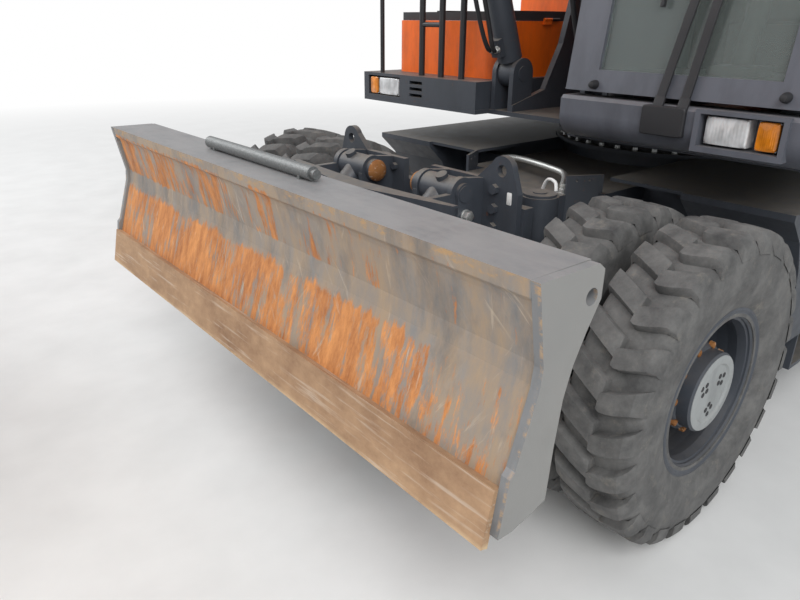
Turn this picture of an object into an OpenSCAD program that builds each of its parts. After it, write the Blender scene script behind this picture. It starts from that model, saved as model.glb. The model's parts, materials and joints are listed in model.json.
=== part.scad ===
// Wheeled excavator: X forward to the dozer blade, Y to the machine's left, Z up, on the ground at Z = 0.
// Sizes are millimetres. X sizes are counted from one cross line of the chassis, behind the feet
// of the boom cylinders.

/* [Wheels] */
// Tyre radius over the lugs
tyre_r = 530; // [500:1:560]
// Depth of the tread lugs
lug_depth = 28; // [20:1:32]
// Tread pitches around a tyre
pitches = 26; // [22:1:28]
// Tyre section width
tyre_w = 250; // [240:1:260]
// Distance between the centre planes of a twin pair
twin_pitch = 320; // [315:1:330]
// Y of the middle plane of a twin pair
twin_y = 965; // [955:1:970]
// Rim bead seat radius
rim_r = 254; // [250:1:258]
// Rim flange radius
flange_r = 285; // [278:1:292]
// X of the front axle
axle_front_x = 1450; // [1440:1:1500]
// X of the rear axle
axle_rear_x = -1200; // [-1260:1:-1190]
// Y of the king pins
king_y = 620; // [615:1:625]

/* [Chassis] */
// Half width of the chassis over the axles
frame_half = 300; // [290:1:320]
// Half width of the chassis under the slewing ring
centre_half = 400; // [390:1:405]
// Top of the chassis
frame_top = 920; // [915:1:940]
// Thickness of the chassis plates
plate_t = 20; // [12:1:25]
// X of the slewing axis
slew_x = -300; // [-320:1:-280]
// Outer radius of the slewing ring's flanges
ring_r = 635; // [620:1:645]
// Top of the step boxes
box_top = 990; // [985:1:1010]
// Y of the outer face of the step boxes
box_y = 1150; // [1120:1:1180]

/* [Blade] */
// Overall width of the blade
blade_w = 2494; // [2400:2:2540]
// X of the lower arm pins on the chassis
arm_x = 1760; // [1755:1:1770]
// Z of the lower arm pins on the chassis
arm_z = 400; // [390:1:410]
// Length of the blade arms between pins
arm_len = 595; // [585:1:600]
// Angle of the raised blade arms above level
arm_up = 31; // [29:1:32]
// Vertical distance between the lower and the upper arm pins
arm_gap = 294; // [285:1:300]
// Distance along the lower arm from its chassis pin to the cylinder rod pin
rod_at = 420; // [410:1:430]
// X of the blade cylinder pins on the bracket
eye_x = 1726; // [1720:1:1735]
// Z of the blade cylinder pins on the bracket
eye_z = 1041; // [1034:1:1045]
// Outer diameter of the blade cylinder eyes
eye_d = 104; // [96:1:112]
// Thickness of the bent blade skin
skin_t = 16; // [12:1:20]
// Thickness of the blade end plates
end_t = 25; // [18:1:30]

/* [Upper structure] */
// Underside of the revolving deck
deck_z = 1180; // [1175:1:1190]
// Top of the deck skirts and lamp box
skirt_top = 1330; // [1320:1:1340]
// Half width of the revolving body
body_half = 1235; // [1200:1:1247]
// Tail swing radius
tail_r = 1790; // [1770:1:1850]
// X of the front of the orange tool box
tool_x = 790; // [770:1:800]
// Top of the orange tool box under its lid
tool_top = 1600; // [1580:1:1620]
// Top of the engine hood
hood_top = 2230; // [2150:1:2300]

/* [Cab] */
// X of the cab's foot at the front
cab_x = 1200; // [1180:1:1220]
// Y of the cab's inner side
cab_y = 360; // [355:1:370]
// Underside of the cab
cab_floor = 1365; // [1360:1:1375]
// Top of the cab roof
cab_roof = 3090; // [3050:1:3130]
// Length of the cab
cab_len = 1780; // [1700:1:1800]
// Lean of the windscreen, in degrees
screen_lean = 8; // [6:1:9]
// Thickness of the cab walls
wall_t = 50; // [40:1:55]
// Thickness of the glass
glass_t = 6; // [5:1:8]

/* [Boom] */
// X of the boom foot pin
foot_x = 250; // [240:1:260]
// Z of the boom foot pin
foot_z = 1800; // [1780:1:1820]
// Boom length between its end pins
boom_len = 4700; // [4650:1:4750]
// Rest angle of the boom's pin line above level
boom_up = 27; // [25:1:30]
// Half width of the boom
boom_half = 175; // [165:1:178]
// Thickness of the boom and stick plates
boom_t = 14; // [10:1:16]
// Stick length between the boom pin and the bucket pin
stick_len = 2300; // [2250:1:2350]
// Rest direction of the stick below level
stick_down = 85; // [83:1:87]
// Half width of the stick
stick_half = 140; // [130:1:145]
// Outer width of the bucket
bucket_w = 1000; // [900:2:1060]
// Bucket radius from its pin to the tooth tips
bucket_r = 1250; // [1200:1:1300]
// Rest angle of the bucket, from its pin to its teeth, behind straight down
bucket_in = 75; // [73:1:77]

/* [Hidden] */
$fn = 64;
// X of the middle of the parked machine, where the origin lies
mid_x = 1511;
clear = 5;
snug = 0.3;

// Pin positions, as [x, z]
function turned(a, u, w) = [u * cos(a) - w * sin(a), u * sin(a) + w * cos(a)];
boom_foot = [foot_x, foot_z];
boom_tip = boom_foot + turned(boom_up, boom_len, 0);
bucket_pin = boom_tip + turned(-stick_down, stick_len, 0);
arm_pin = [arm_x, arm_z];
blade_pin = arm_pin + turned(arm_up, arm_len, 0);
link_pin = arm_pin + [0, arm_gap];
blade_link_pin = blade_pin + [0, arm_gap];
blade_rod_pin = arm_pin + turned(arm_up, rod_at, 0);
eye_pin = [eye_x, eye_z];

// A bar along Y between y0 and y1, round the pin at p
module pin(p, y0, y1, r) {
    translate([p[0], y1, p[1]]) rotate([90, 0, 0]) cylinder(r=r, h=y1 - y0);
}
// A plate in the XZ plane between y0 and y1, from an outline of [x, z] points
module plate(points, y0, y1) {
    translate([0, y1, 0]) rotate([90, 0, 0]) linear_extrude(y1 - y0) polygon(points);
}
// A box between two corners
module block(a, b) {
    translate(a) cube(b - a);
}
module both_sides() {
    children();
    mirror([0, 1, 0]) children();
}
// A flat bar with round ends between pins a and b, in the XZ plane
module strap(a, b, r, y0, y1) {
    d = b - a;
    translate([0, y1, 0]) rotate([90, 0, 0]) linear_extrude(y1 - y0) {
        translate(a) circle(r=r);
        translate(b) circle(r=r);
        translate(a) rotate(atan2(d[1], d[0])) translate([0, -r * 0.93]) square([norm(d), r * 1.86]);
    }
}
// Places a piece drawn along +X from the origin so that it runs from pin a towards pin b
module along(a, b) {
    d = b - a;
    translate([a[0], 0, a[1]]) rotate([0, -atan2(d[1], d[0]), 0]) children();
}
module tube_x(x0, x1, r) {
    translate([x0, 0, 0]) rotate([0, 90, 0]) cylinder(r=r, h=x1 - x0);
}
// A hydraulic barrel along +X with an eye at the origin. A size row is [wall, base, gland].
barrel_fit = [12, 14, 40];
module barrel(y, length, r, eye_r, eye_half, pin_r, rod_r) {
    base = eye_r + barrel_fit[1];
    translate([0, y, 0]) difference() {
        union() {
            tube_x(0, base, min(r, eye_half) - 2);
            tube_x(base - 6, length, r);
            tube_x(length - 60, length, r + 7);
            rotate([90, 0, 0]) cylinder(r=eye_r, h=2 * eye_half, center=true);
        }
        rotate([90, 0, 0]) cylinder(r=pin_r + snug, h=2 * eye_half + 20, center=true);
        tube_x(base, length - barrel_fit[2], r - barrel_fit[0]);
        tube_x(base + 10, length + 10, rod_r + snug);
    }
}
// A piston rod along +X that starts inside the barrel of radius r and ends in an eye at reach
module rod(y, start, reach, rod_r, eye_r, eye_half, r) {
    translate([0, y, 0]) {
        tube_x(start, reach, rod_r);
        tube_x(start, start + 24, r - barrel_fit[0] - snug);
        translate([reach, 0, 0]) rotate([90, 0, 0]) cylinder(r=eye_r, h=2 * eye_half, center=true);
        translate([reach, 0, 0]) rotate([90, 0, 0]) cylinder(r=eye_r * 0.55, h=2 * eye_half + 8, center=true);
    }
}

// Wheels. Drawn about the Y axis, with the outer side at +Y.
hub_r = 150;
cap_r = 134;
spindle_r = 45;
rim_half = 104;
bead = 12;
tyre_edge = twin_y + twin_pitch / 2 + tyre_w / 2;
module revolve_y(points) {
    rotate([-90, 0, 0]) rotate_extrude() polygon(points);
}
// Tread of one pitch. A row is [place along the tread, inner end, lean, width]
lug_rows = [[24, -14, 16, 60], [86, 30, 22, 64]];
module lug(row, outer) {
    top = tyre_r + 3;
    base = tyre_r - lug_depth - 6;
    shoulder = tyre_w / 2 - 4;
    rotate([0, row[0] / tyre_r * 180 / PI, 0]) mirror([0, outer ? 0 : 1, 0]) rotate([0, 0, -row[2]])
        translate([-row[3] / 2, 0, 0]) rotate([90, 0, 90]) linear_extrude(row[3])
            polygon([[row[1], base], [row[1], top], [shoulder - 20, top], [shoulder, top - 28],
            [shoulder, base]]);
}
module tyre(y) {
    h = tyre_w / 2;
    tread = tyre_r - lug_depth;
    side = [[rim_r + snug, rim_half - bead - snug], [rim_r + 30, rim_half - bead - snug], [rim_r + 60, h - 5],
        [rim_r + 120, h], [tread - 30, h], [tread, h - 3]];
    translate([0, y, 0]) {
        intersection() {
            for (i = [0:pitches - 1]) rotate([0, i * 360 / pitches, 0]) {
                lug(lug_rows[0], true);
                lug(lug_rows[1], false);
            }
            rotate([90, 0, 0]) cylinder(r=tyre_r, h=2 * h, center=true);
        }
        revolve_y(concat([for (p = side) [p[0], -p[1]]], [for (i = [len(side) - 1:-1:0]) side[i]]));
    }
}
module twin_tyres() {
    color([0.10, 0.10, 0.11]) for (s = [-1, 1]) tyre(s * twin_pitch / 2);
}
// Half section of a rim, as [radius, distance from its middle]: bead seat, flange, then the inside
// with its lock ring
rim_section = [[rim_r, 0], [rim_r, rim_half - bead], [flange_r - 6, rim_half - bead],
    [flange_r, rim_half - bead + 5], [flange_r, rim_half - 2], [flange_r - 8, rim_half],
    [flange_r - 16, rim_half - 4], [rim_r + 4, rim_half - 5], [rim_r - 5, rim_half - 15],
    [rim_r - 5, rim_half - 21], [rim_r - 13, rim_half - 23], [rim_r - 18, rim_half - 50],
    [rim_r - 12, 20], [rim_r - 12, 0]];
module twin_rims() {
    n = len(rim_section);
    color([0.25, 0.27, 0.30]) difference() {
        union() {
            for (s = [-1, 1]) revolve_y(concat([for (q = rim_section) [q[0], s * twin_pitch / 2 + q[1]]],
                [for (i = [n - 1:-1:0]) [rim_section[i][0], s * twin_pitch / 2 - rim_section[i][1]]]));
            // Spacer band and disc between the two rims
            revolve_y([for (q = [[12, -1], [1, -1], [1, 1], [12, 1]])
                [rim_r - q[0], q[1] * (twin_pitch / 2 - rim_half + 39)]]);
            revolve_y([[hub_r - 10, -8], [rim_r - 4, -8], [rim_r - 4, 8], [hub_r - 10, 8]]);
            revolve_y([[0, -60], [hub_r, -60], [hub_r, 196], [hub_r - 12, 210], [cap_r, 212],
                [cap_r, 250], [cap_r - 7, 257], [cap_r - 34, 258], [cap_r - 38, 252], [0, 252]]);
        }
        revolve_y([[0, -70], [spindle_r + snug, -70], [spindle_r + snug, 0], [0, 0]]);
    }
}
module on_wheel(x, side) {
    translate([x, side * twin_y, tyre_r]) mirror([0, side < 0 ? 1 : 0, 0]) children();
}

// Axles
knuckle_r = 74;
steer_arm = 200;
track_r = 20;
front_beam_z = 735;
lock_pad = tyre_r + 148;
rear_beam_z = 735;
centre_beam_z = 640;
tube_r = 80;
module axle_core() {
    translate([0, 0, tyre_r]) {
        rotate([90, 0, 0]) cylinder(r=tube_r, h=2 * (king_y - knuckle_r - 40), center=true);
        rotate([0, 90, 0]) cylinder(r=185, h=180, center=true);
        tube_x(85, 98, 120);
    }
}
module front_axle() {
    fork_in = king_y - knuckle_r - 45;
    color([0.15, 0.16, 0.18]) translate([axle_front_x, 0, 0]) {
        axle_core();
        both_sides() {
            for (s = [-1, 1]) {
                translate([0, king_y, tyre_r + s * 130]) cylinder(r=62, h=36, center=true);
                block([-62, fork_in, tyre_r + s * 130 - 18], [62, king_y, tyre_r + s * 130 + 18]);
            }
            block([-62, fork_in - 30, tyre_r - 148], [62, fork_in, tyre_r + 148]);
            for (s = [-1, 1]) translate([0, king_y, tyre_r + s * 112 - 25]) cylinder(r=30, h=50);
            block([-60, fork_in - 60, lock_pad - 18], [60, lock_y + 60, lock_pad]);
        }
        // Steering cylinder behind the beam
        difference() {
            union() {
                pin([-steer_arm, tyre_r], -260, 260, 38);
                block([-steer_arm, -60, tyre_r - 34], [-80, 60, tyre_r + 34]);
            }
            pin([-steer_arm, tyre_r], -300, 300, track_r + snug);
        }
        // Oscillation cradle under the chassis
        block([-150, -70, tyre_r + 150], [100, 70, front_beam_z - snug]);
    }
}
module track_rod() {
    color([0.7, 0.71, 0.72]) translate([axle_front_x, 0, 0]) {
        pin([-steer_arm, tyre_r], -king_y + 15, king_y - 15, track_r);
        both_sides() translate([-steer_arm, king_y - 5, tyre_r - 22]) cylinder(r=30, h=44);
    }
}
module knuckle() {
    difference() {
        union() {
            translate([0, king_y, tyre_r - 92]) cylinder(r=knuckle_r, h=184);
            pin([0, tyre_r], king_y, twin_y - 65, 70);
            pin([0, tyre_r], king_y, twin_y - 10, spindle_r);
            block([-steer_arm, king_y - 27, tyre_r + 29], [0, king_y + 17, tyre_r + 59]);
            translate([-steer_arm, king_y - 5, tyre_r + 28]) cylinder(r=32, h=33);
        }
        for (s = [-1, 1]) translate([0, king_y, tyre_r + s * 87 - 32]) cylinder(r=30 + snug, h=64);
    }
}
module steered_knuckle() {
    color([0.15, 0.16, 0.18]) knuckle();
}
module rear_axle() {
    color([0.15, 0.16, 0.18]) translate([axle_rear_x, 0, 0]) {
        axle_core();
        both_sides() {
            pin([0, tyre_r], king_y - knuckle_r - 60, twin_y - 150, tube_r + 14);
            pin([0, tyre_r], twin_y - 155, twin_y - 65, 70);
            pin([0, tyre_r], twin_y - 70, twin_y - 10, spindle_r);
            block([-90, 200, tyre_r + 40], [90, 300, rear_beam_z - snug]);
        }
        // Transfer gearbox
        block([85, -150, tyre_r - 150], [420, 150, centre_beam_z - 12]);
    }
}

// Chassis
front_plate_x = 1560;
flange_t = 25;
flange_x = front_plate_x + 40;
flange_front = flange_x + flange_t;
rear_x = -1760;
module hollow_beam(x0, x1, half, z0, z1) {
    block([x0, -half, z1 - plate_t], [x1, half, z1]);
    block([x0, -half, z0], [x1, half, z0 + plate_t]);
    both_sides() block([x0, half - plate_t, z0], [x1, half, z1]);
}
turret_r = ring_r - 50;
turret_top = 1000;
module chassis_frame() {
    color([0.17, 0.18, 0.20]) difference() {
        union() {
            hollow_beam(900, front_plate_x, frame_half, front_beam_z, frame_top);
            hollow_beam(-950, 910, centre_half, centre_beam_z, frame_top);
            hollow_beam(rear_x, -940, frame_half, rear_beam_z, frame_top);
            block([front_plate_x - 5, -540, 330], [flange_x, 540, turret_top]);
            block([front_plate_x - 20, -frame_half, 735], [front_plate_x, frame_half, frame_top]);
            block([rear_x - 40, -600, 560], [rear_x, 600, turret_top]);
            // Turret with the flange that carries the slewing ring
            translate([slew_x, 0, frame_top - plate_t]) cylinder(r=turret_r,
                h=turret_top - frame_top + plate_t);
            translate([slew_x, 0, turret_top - 20]) cylinder(r=ring_r, h=20);
            both_sides() {
                // Outriggers that carry the step boxes
                for (x = [-480, 520]) block([x, centre_half - 5, 700],
                    [x + 80, box_y - 420 - snug, frame_top]);
                // Webs behind the front plate
                block([1500, frame_half - plate_t, 640], [front_plate_x, frame_half, 760]);
                // Slanted gusset where the frame narrows
                translate([0, 0, 784]) linear_extrude(turret_top - 784)
                    polygon([[1040, frame_half - 12], [895, centre_half - 35], [895, centre_half - 22],
                        [1046, frame_half - 1]]);
            }
        }
        translate([slew_x, 0, 880]) cylinder(r=turret_r - 30, h=300);
        both_sides() for (x = [940, 1010]) translate([x, frame_half + 30, turret_top - 22])
            rotate([90, 0, -30])
            cylinder(r=6, h=90, center=true);
    }
}
ring_top = 1025;
race_top = 1040;
module slew_ring() {
    color([0.12, 0.12, 0.13]) translate([slew_x, 0, 0]) difference() {
        translate([0, 0, turret_top + snug]) cylinder(r=turret_r - 10, h=ring_top - turret_top - snug);
        translate([0, 0, turret_top - 1]) cylinder(r=ring_r - 160, h=70);
    }
}
bolt_zs = [844, 914, 984, 1054];
ear_r = 57;
ear_in = [155, 180];
ear_out = [335, 360];
lug_y = [95, 118];
lift_y = 445;
lift_z = 1121;
module blade_bracket() {
    color([0.17, 0.18, 0.20]) both_sides() {
        // Bolted flange with its lifting eye
        translate([flange_x, 0, 0]) rotate([90, 0, 90]) linear_extrude(flange_t) difference() {
            union() {
                polygon([[80, 335], [525, 335], [525, 1050], [lift_y + 52, lift_z + 5],
                    [lift_y - 40, lift_z + 30], [330, eye_z + 43], [80, eye_z + 43]]);
                translate([lift_y, lift_z]) circle(r=52);
            }
            translate([lift_y, lift_z]) circle(r=21);
        }
        for (z = bolt_zs) translate([flange_front - 2, 420, z]) rotate([0, 90, 0])
            cylinder(r=19, h=20, $fn=6);
        for (z = [640, 920, 1046]) translate([flange_front - 2, lug_y[1] + 18, z]) rotate([0, 90, 0])
            cylinder(r=15, h=18, $fn=6);
    }
}
// Welded to the flanges
module bracket_ears() {
    color([0.17, 0.18, 0.20]) both_sides() {
        // Ears for the cylinder pin and the lower arm pin
        for (y = [ear_in, ear_out]) difference() {
            union() {
                plate([[flange_front, 340], [flange_front, eye_z + 43], [eye_x - 26, eye_z + ear_r - 5],
                    [eye_x + ear_r, eye_z - 10], [eye_x + ear_r, arm_z + 150], [arm_x + 62, arm_z],
                    [arm_x, 340]], y[0], y[1]);
                pin(eye_pin, y[0], y[1], ear_r);
                pin(arm_pin, y[0], y[1], 62);
            }
            pin(arm_pin, y[0] - 1, y[1] + 1, 28 + snug);
        }
        // Cylinder pin with its inner head and its keeper
        pin(eye_pin, ear_in[0] - 22, ear_in[0] + 1, 44);
        pin(eye_pin, ear_in[0], ear_out[1] + 15, eye_pin_r);
        strap(eye_pin, [eye_x - 4, eye_z - 77], 38, ear_out[1] - 1, ear_out[1] + 12);
        translate([eye_x - 4, ear_out[1] + 11, eye_z - 77]) rotate([-90, 0, 0]) cylinder(r=19, h=12, $fn=6);
        // Lugs of the middle link
        difference() {
            union() {
                block([flange_front, lug_y[0], link_pin[1] - 60], [link_pin[0], lug_y[1], link_pin[1] + 60]);
                pin(link_pin, lug_y[0], lug_y[1], 60);
            }
            pin(link_pin, lug_y[0] - 5, lug_y[1] + 7, 28 + snug);
        }
    }
}
guard_z = 1050;
module hose_guard() {
    // Half outline of the bent bar, as [x, y] of its front edge
    front = [[1897, 488], [1960, 180], [1992, 0]];
    color([0.24, 0.26, 0.29]) {
        both_sides() {
            translate([0, 0, guard_z - 8]) linear_extrude(8) polygon(concat(front, [[1907, 0], [1875, 488]]));
            translate([0, 0, guard_z - 48]) linear_extrude(44) polygon(concat(front,
                [[1984, 0], [1952, 180], [1889, 487]]));
            // Arm back to the outer ear
            block([eye_x + ear_r + snug, ear_out[0], guard_z - 48], [1920, ear_out[1], guard_z - 4]);
        }
        translate([0, 0, guard_z - 48]) linear_extrude(47) polygon([[1984, -2], [1992, -2], [1992, 2],
            [1984, 2]]);
    }
}
module step_box(side) {
    // Outline that leaves room for a steered tyre
    front = [[900, box_top], [900, 965], [800, 870], [740, 750], [700, 600], [700, 430]];
    inner = centre_half + snug;
    mirror([0, side < 0 ? 1 : 0, 0]) {
        difference() {
            plate(concat([[-580, 430], [-580, box_top]], front), box_y - 420, box_y);
            if (side < 0) block([-540, box_y - 380, 470], [620, box_y + 10, 900]);
            if (side > 0) for (z = [470, 700]) block([-60, box_y - 230, z], [560, box_y + 10, z + 190]);
        }
        // Inner shelf from the box to the chassis
        difference() {
            block([-520, inner, box_top - 14], [880, box_y - 420, box_top]);
            translate([slew_x, 0, 900]) cylinder(r=ring_r + clear, h=200);
        }
        // Hanging step under the box
        block([-20, box_y - 200, 250], [520, box_y - 10, 268]);
        for (x = [-20, 508]) block([x, box_y - 200, 250], [x + 12, box_y - 10, 435]);
    }
}
module step_boxes() {
    color([0.14, 0.15, 0.17]) for (side = [-1, 1]) step_box(side);
}
lock_y = 480;
module lock_cylinders() {
    color([0.18, 0.19, 0.22]) both_sides() translate([axle_front_x, lock_y, 0]) {
        translate([0, 0, 745]) cylinder(r=70, h=272);
        translate([0, 0, 1010]) cylinder(r=62, h=16);
        translate([0, 0, 1010]) cylinder(r=26, h=20);
        translate([0, 0, lock_pad + snug]) cylinder(r=44, h=140);
        block([-60, frame_half - lock_y + snug, 780], [60, 0, frame_top - 5]);
        // Port boss at the upper end
        rotate([0, 0, 25]) translate([-92, 0, 985]) rotate([0, 90, 0]) cylinder(r=17, h=60);
    }
}

// Blade
half_w = blade_w / 2;
skin_half = half_w - end_t - snug;
// Points of the blade's front face from the top edge to the foot, relative to the lower pins
bp = blade_pin;
face = [[bp[0] + 130, bp[1] + 438], [bp[0] + 108, bp[1] + 370], [bp[0] + 86, bp[1] + 240],
    [bp[0] + 92, bp[1] + 190], [bp[0] + 150, bp[1] + 10], [bp[0] + 184, bp[1] - 100]];
blade_top = bp[1] + 438;
blade_back = bp[0] - 62;
module blade_skin() {
    n = len(face);
    plate(concat(face, [for (i = [n - 1:-1:0]) face[i] - [skin_t, i == 0 ? 0 : 3]]), -skin_half, skin_half);
}
module blade_plate() {
    lug_in = [160, 186];
    lug_out = [329, 355];
    color([0.33, 0.35, 0.38]) {
        union() {
            blade_skin();
            // Top box section
            plate([[blade_back, blade_top], [blade_back, blade_top - 44], [bp[0] - 10, blade_top - 44],
                [face[1][0] - 10, blade_top - 68], [face[0][0] - 4, blade_top - 40],
                [face[0][0], blade_top]], -skin_half, skin_half);
            // Foot beam
            plate([[face[4][0] - 10, face[4][1]], [face[5][0] - 6, face[5][1]], [bp[0] + 60, bp[1] - 110],
                [bp[0] + 60, bp[1] - 20]], -skin_half, skin_half);
            both_sides() {
                for (y = [lug_in, lug_out]) {
                    pin(blade_pin, y[0], y[1], 50);
                    plate([[bp[0], bp[1] - 50], [bp[0] + 70, bp[1] - 90], [face[4][0] - 14, face[4][1]],
                        [face[3][0] - 12, face[3][1]], [bp[0], bp[1] + 50]], y[0], y[1]);
                }
                plate([[bp[0] - 10, bp[1] + arm_gap + 48], [bp[0] - 10, bp[1] + arm_gap - 46],
                    [face[2][0] - 10, face[2][1] - 30], [face[2][0] - 10, face[2][1] + 20],
                    [face[1][0] - 10, blade_top - 60]], 95, 120);
                pin(blade_link_pin, 95, 120, 48);
                pin(blade_pin, lug_in[0] - 10, lug_out[1] + 10, 28);
                // Ribs behind the skin
                for (y = [620, 930]) plate([[blade_back + 10, blade_top - 50],
                    [face[2][0] - 12, face[2][1] + 40], [face[2][0] - 12, face[2][1]],
                    [face[4][0] - 12, face[4][1] - 10], [bp[0] + 62, bp[1] - 30],
                    [bp[0] + 10, bp[1] + 120]], y, y + 16);
            }
            pin(blade_link_pin, -130, 130, 28);
        }
    }
}
module end_plate() {
    outline = [[bp[0] + 132, bp[1] + 438], [bp[0] - 58, bp[1] + 436], [bp[0] - 79, bp[1] + 420],
        [bp[0] - 79, bp[1] + 352], [bp[0] - 40, bp[1] + 285], [bp[0] - 6, bp[1] + 215],
        [bp[0] + 16, bp[1] + 140], [bp[0] + 30, bp[1] + 20], [bp[0] + 40, bp[1] - 120],
        [bp[0] + 150, bp[1] - 150], [bp[0] + 196, bp[1] - 148], [face[4][0] + 22, face[4][1] - 10],
        [face[4][0] + 8, face[4][1] + 6], [face[3][0] + 10, face[3][1]], [face[2][0] + 10, face[2][1]]];
    color([0.33, 0.35, 0.38]) difference() {
        plate(outline, half_w - end_t, half_w);
        pin([bp[0] - 43, bp[1] + 365], half_w - 60, half_w + 20, 20);
    }
}
module cutting_edge() {
    f = face[5];
    c = face[4] + (f - face[4]) * 0.45;
    color([0.42, 0.28, 0.16]) plate([[c[0] + snug, c[1]], [c[0] + 24, c[1] + 8], [bp[0] + 222, bp[1] - 180],
        [bp[0] + 200, bp[1] - 188], [f[0] + snug, f[1]]], -skin_half, skin_half);
}
module blade_tube() {
    z = blade_top + 24;
    color([0.45, 0.46, 0.45]) {
        pin([bp[0] + 6, z], -460, 262, 22);
        pin([bp[0] + 6, z], 262, 284, 15);
        for (y = [-400, 200]) block([bp[0] - 14, y, blade_top + snug], [bp[0] + 26, y + 12, z - 10]);
    }
}
arm_y = [[190, 215], [300, 325]];
module blade_arms() {
    color([0.17, 0.18, 0.20]) {
        both_sides() {
            difference() {
                union() {
                    for (y = arm_y) strap(arm_pin, blade_pin, 42, y[0], y[1]);
                    pin(arm_pin, arm_y[0][0], arm_y[1][1], 52);
                    pin(blade_pin, arm_y[0][0], arm_y[1][1], 44);
                }
                pin(blade_pin, 100, 400, 28 + snug);
            }
            pin(blade_rod_pin, arm_y[1][1] - 2, arm_y[1][1] + 9, 30);
            pin(arm_pin, ear_in[0] - 10, ear_out[1] + 10, 28);
        }
        along(arm_pin, blade_pin) translate([240, 0, 0]) rotate([90, 0, 0])
            cylinder(r=34, h=2 * arm_y[0][0] + 10, center=true);
    }
}
module blade_link() {
    color([0.17, 0.18, 0.20]) {
        difference() {
            union() {
                pin(link_pin, -84, 84, 50);
                pin(blade_link_pin, -84, 84, 42);
                along(link_pin, blade_link_pin) block([0, -70, -32], [arm_len, 70, 32]);
            }
            pin(blade_link_pin, -90, 90, 28 + snug);
        }
        pin(link_pin, -125, 125, 28);
    }
}
cyl_y = 257.5;
cyl_r = 48;
cyl_rod_r = 24;
eye_pin_r = 30;
module blade_barrels() {
    color([0.20, 0.21, 0.24]) both_sides() {
        along(eye_pin, blade_rod_pin)
            barrel(cyl_y, norm(blade_rod_pin - eye_pin) - 50, cyl_r, eye_d / 2, 72, eye_pin_r, cyl_rod_r);
        // Port boss on top of the eye
        translate([eye_x, cyl_y + 18, eye_z]) rotate([0, 25, 0]) translate([0, 0, eye_pin_r + 10])
            cylinder(r=22, h=eye_d / 2 - eye_pin_r + 4);
    }
}
module blade_rods() {
    color([0.75, 0.76, 0.78]) both_sides() along(eye_pin, blade_rod_pin)
        rod(cyl_y, eye_d / 2 + barrel_fit[1] + 3, norm(blade_rod_pin - eye_pin), cyl_rod_r, 38, 30, cyl_r);
}

// Upper structure
rib_in = boom_half + 8;
rib_t = 30;
front_right_x = 970;
deck_outline = [[-1560, -body_half + 12], [front_right_x, -body_half + 12], [front_right_x, -330],
    [880, -330], [880, 330], [1120, 330], [1120, body_half - 12], [-1560, body_half - 12]];
boom_cyl_foot = [800, 1370];
boom_cyl_y = 258;
deck_top = deck_z + 20;
seat_z = skirt_top + snug;
deck_back = -1560;
right_back = -342;
centre_back = -640;
body_z = 2000;
door_z = [1400, 1930];
door_run = [-1440, -760];
module deck() {
    color([0.13, 0.14, 0.15]) {
        translate([0, 0, deck_z]) linear_extrude(20) polygon(deck_outline);
        // Upper race of the slewing ring
        difference() {
            translate([slew_x, 0, 0]) {
                translate([0, 0, ring_top + snug]) cylinder(r=ring_r - 8, h=race_top - ring_top);
                translate([0, 0, ring_top + snug]) cylinder(r=turret_r - 25, h=deck_z - ring_top);
                translate([0, 0, turret_top + 8]) cylinder(r=ring_r - 160 - snug, h=deck_z - turret_top);
            }
            translate([slew_x, 0, turret_top]) cylinder(r=ring_r - 260, h=deck_z - turret_top - 20);
        }
        block([deck_back, body_half - 27, deck_top], [1120, body_half - 12, skirt_top]);
        block([deck_back, -body_half + 12, deck_top], [-331, -body_half + 27, skirt_top]);
        block([1105, 345, deck_top], [1120, body_half - 27, skirt_top]);
        block([deck_back, -body_half + 27, deck_top], [deck_back + 15, body_half - 27, skirt_top]);
        // Cab mounts
        for (x = [cab_back + 150, cab_x - 190], y = [cab_y + 120, cab_y1 - 120])
            translate([x, y, deck_top - 1]) cylinder(r=48, h=cab_floor - snug - deck_top + 1);
        // Boom ribs
        both_sides() {
            difference() {
                plate([[centre_back + 8, deck_top], [870, deck_top], [870, 1230], [640, 1290],
                    [530, 1500], [440, 1840], [330, foot_z + 120], [170, foot_z + 120], [40, 1760],
                    [centre_back + 8, 1450]], rib_in, rib_in + rib_t);
                pin(boom_foot, 0, 400, 55 + snug);
            }
            for (y = [190, 300]) {
                pin(boom_cyl_foot, y, y + 25, 70);
                block([730, y, deck_top - 1], [870, y + 25, boom_cyl_foot[1]]);
            }
            pin(boom_cyl_foot, 186, 329, 35);
        }
    }
}
cast_top = 1985;
module counterweight() {
    half = body_half - 10;
    color([0.20, 0.21, 0.23]) intersection() {
        translate([slew_x, 0, deck_z]) cylinder(r=tail_r, h=1000, $fn=128);
        difference() {
            block([slew_x - tail_r, -half, deck_z], [deck_back - snug, half, cast_top]);
            for (y = [-360, 300]) translate([-1850, y, cast_top - 60]) cylinder(r=30, h=100);
        }
    }
}
module engine() {
    color([0.30, 0.30, 0.31]) block([-1480, -560, deck_top + snug], [-700, 560, 1900]);
}
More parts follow.
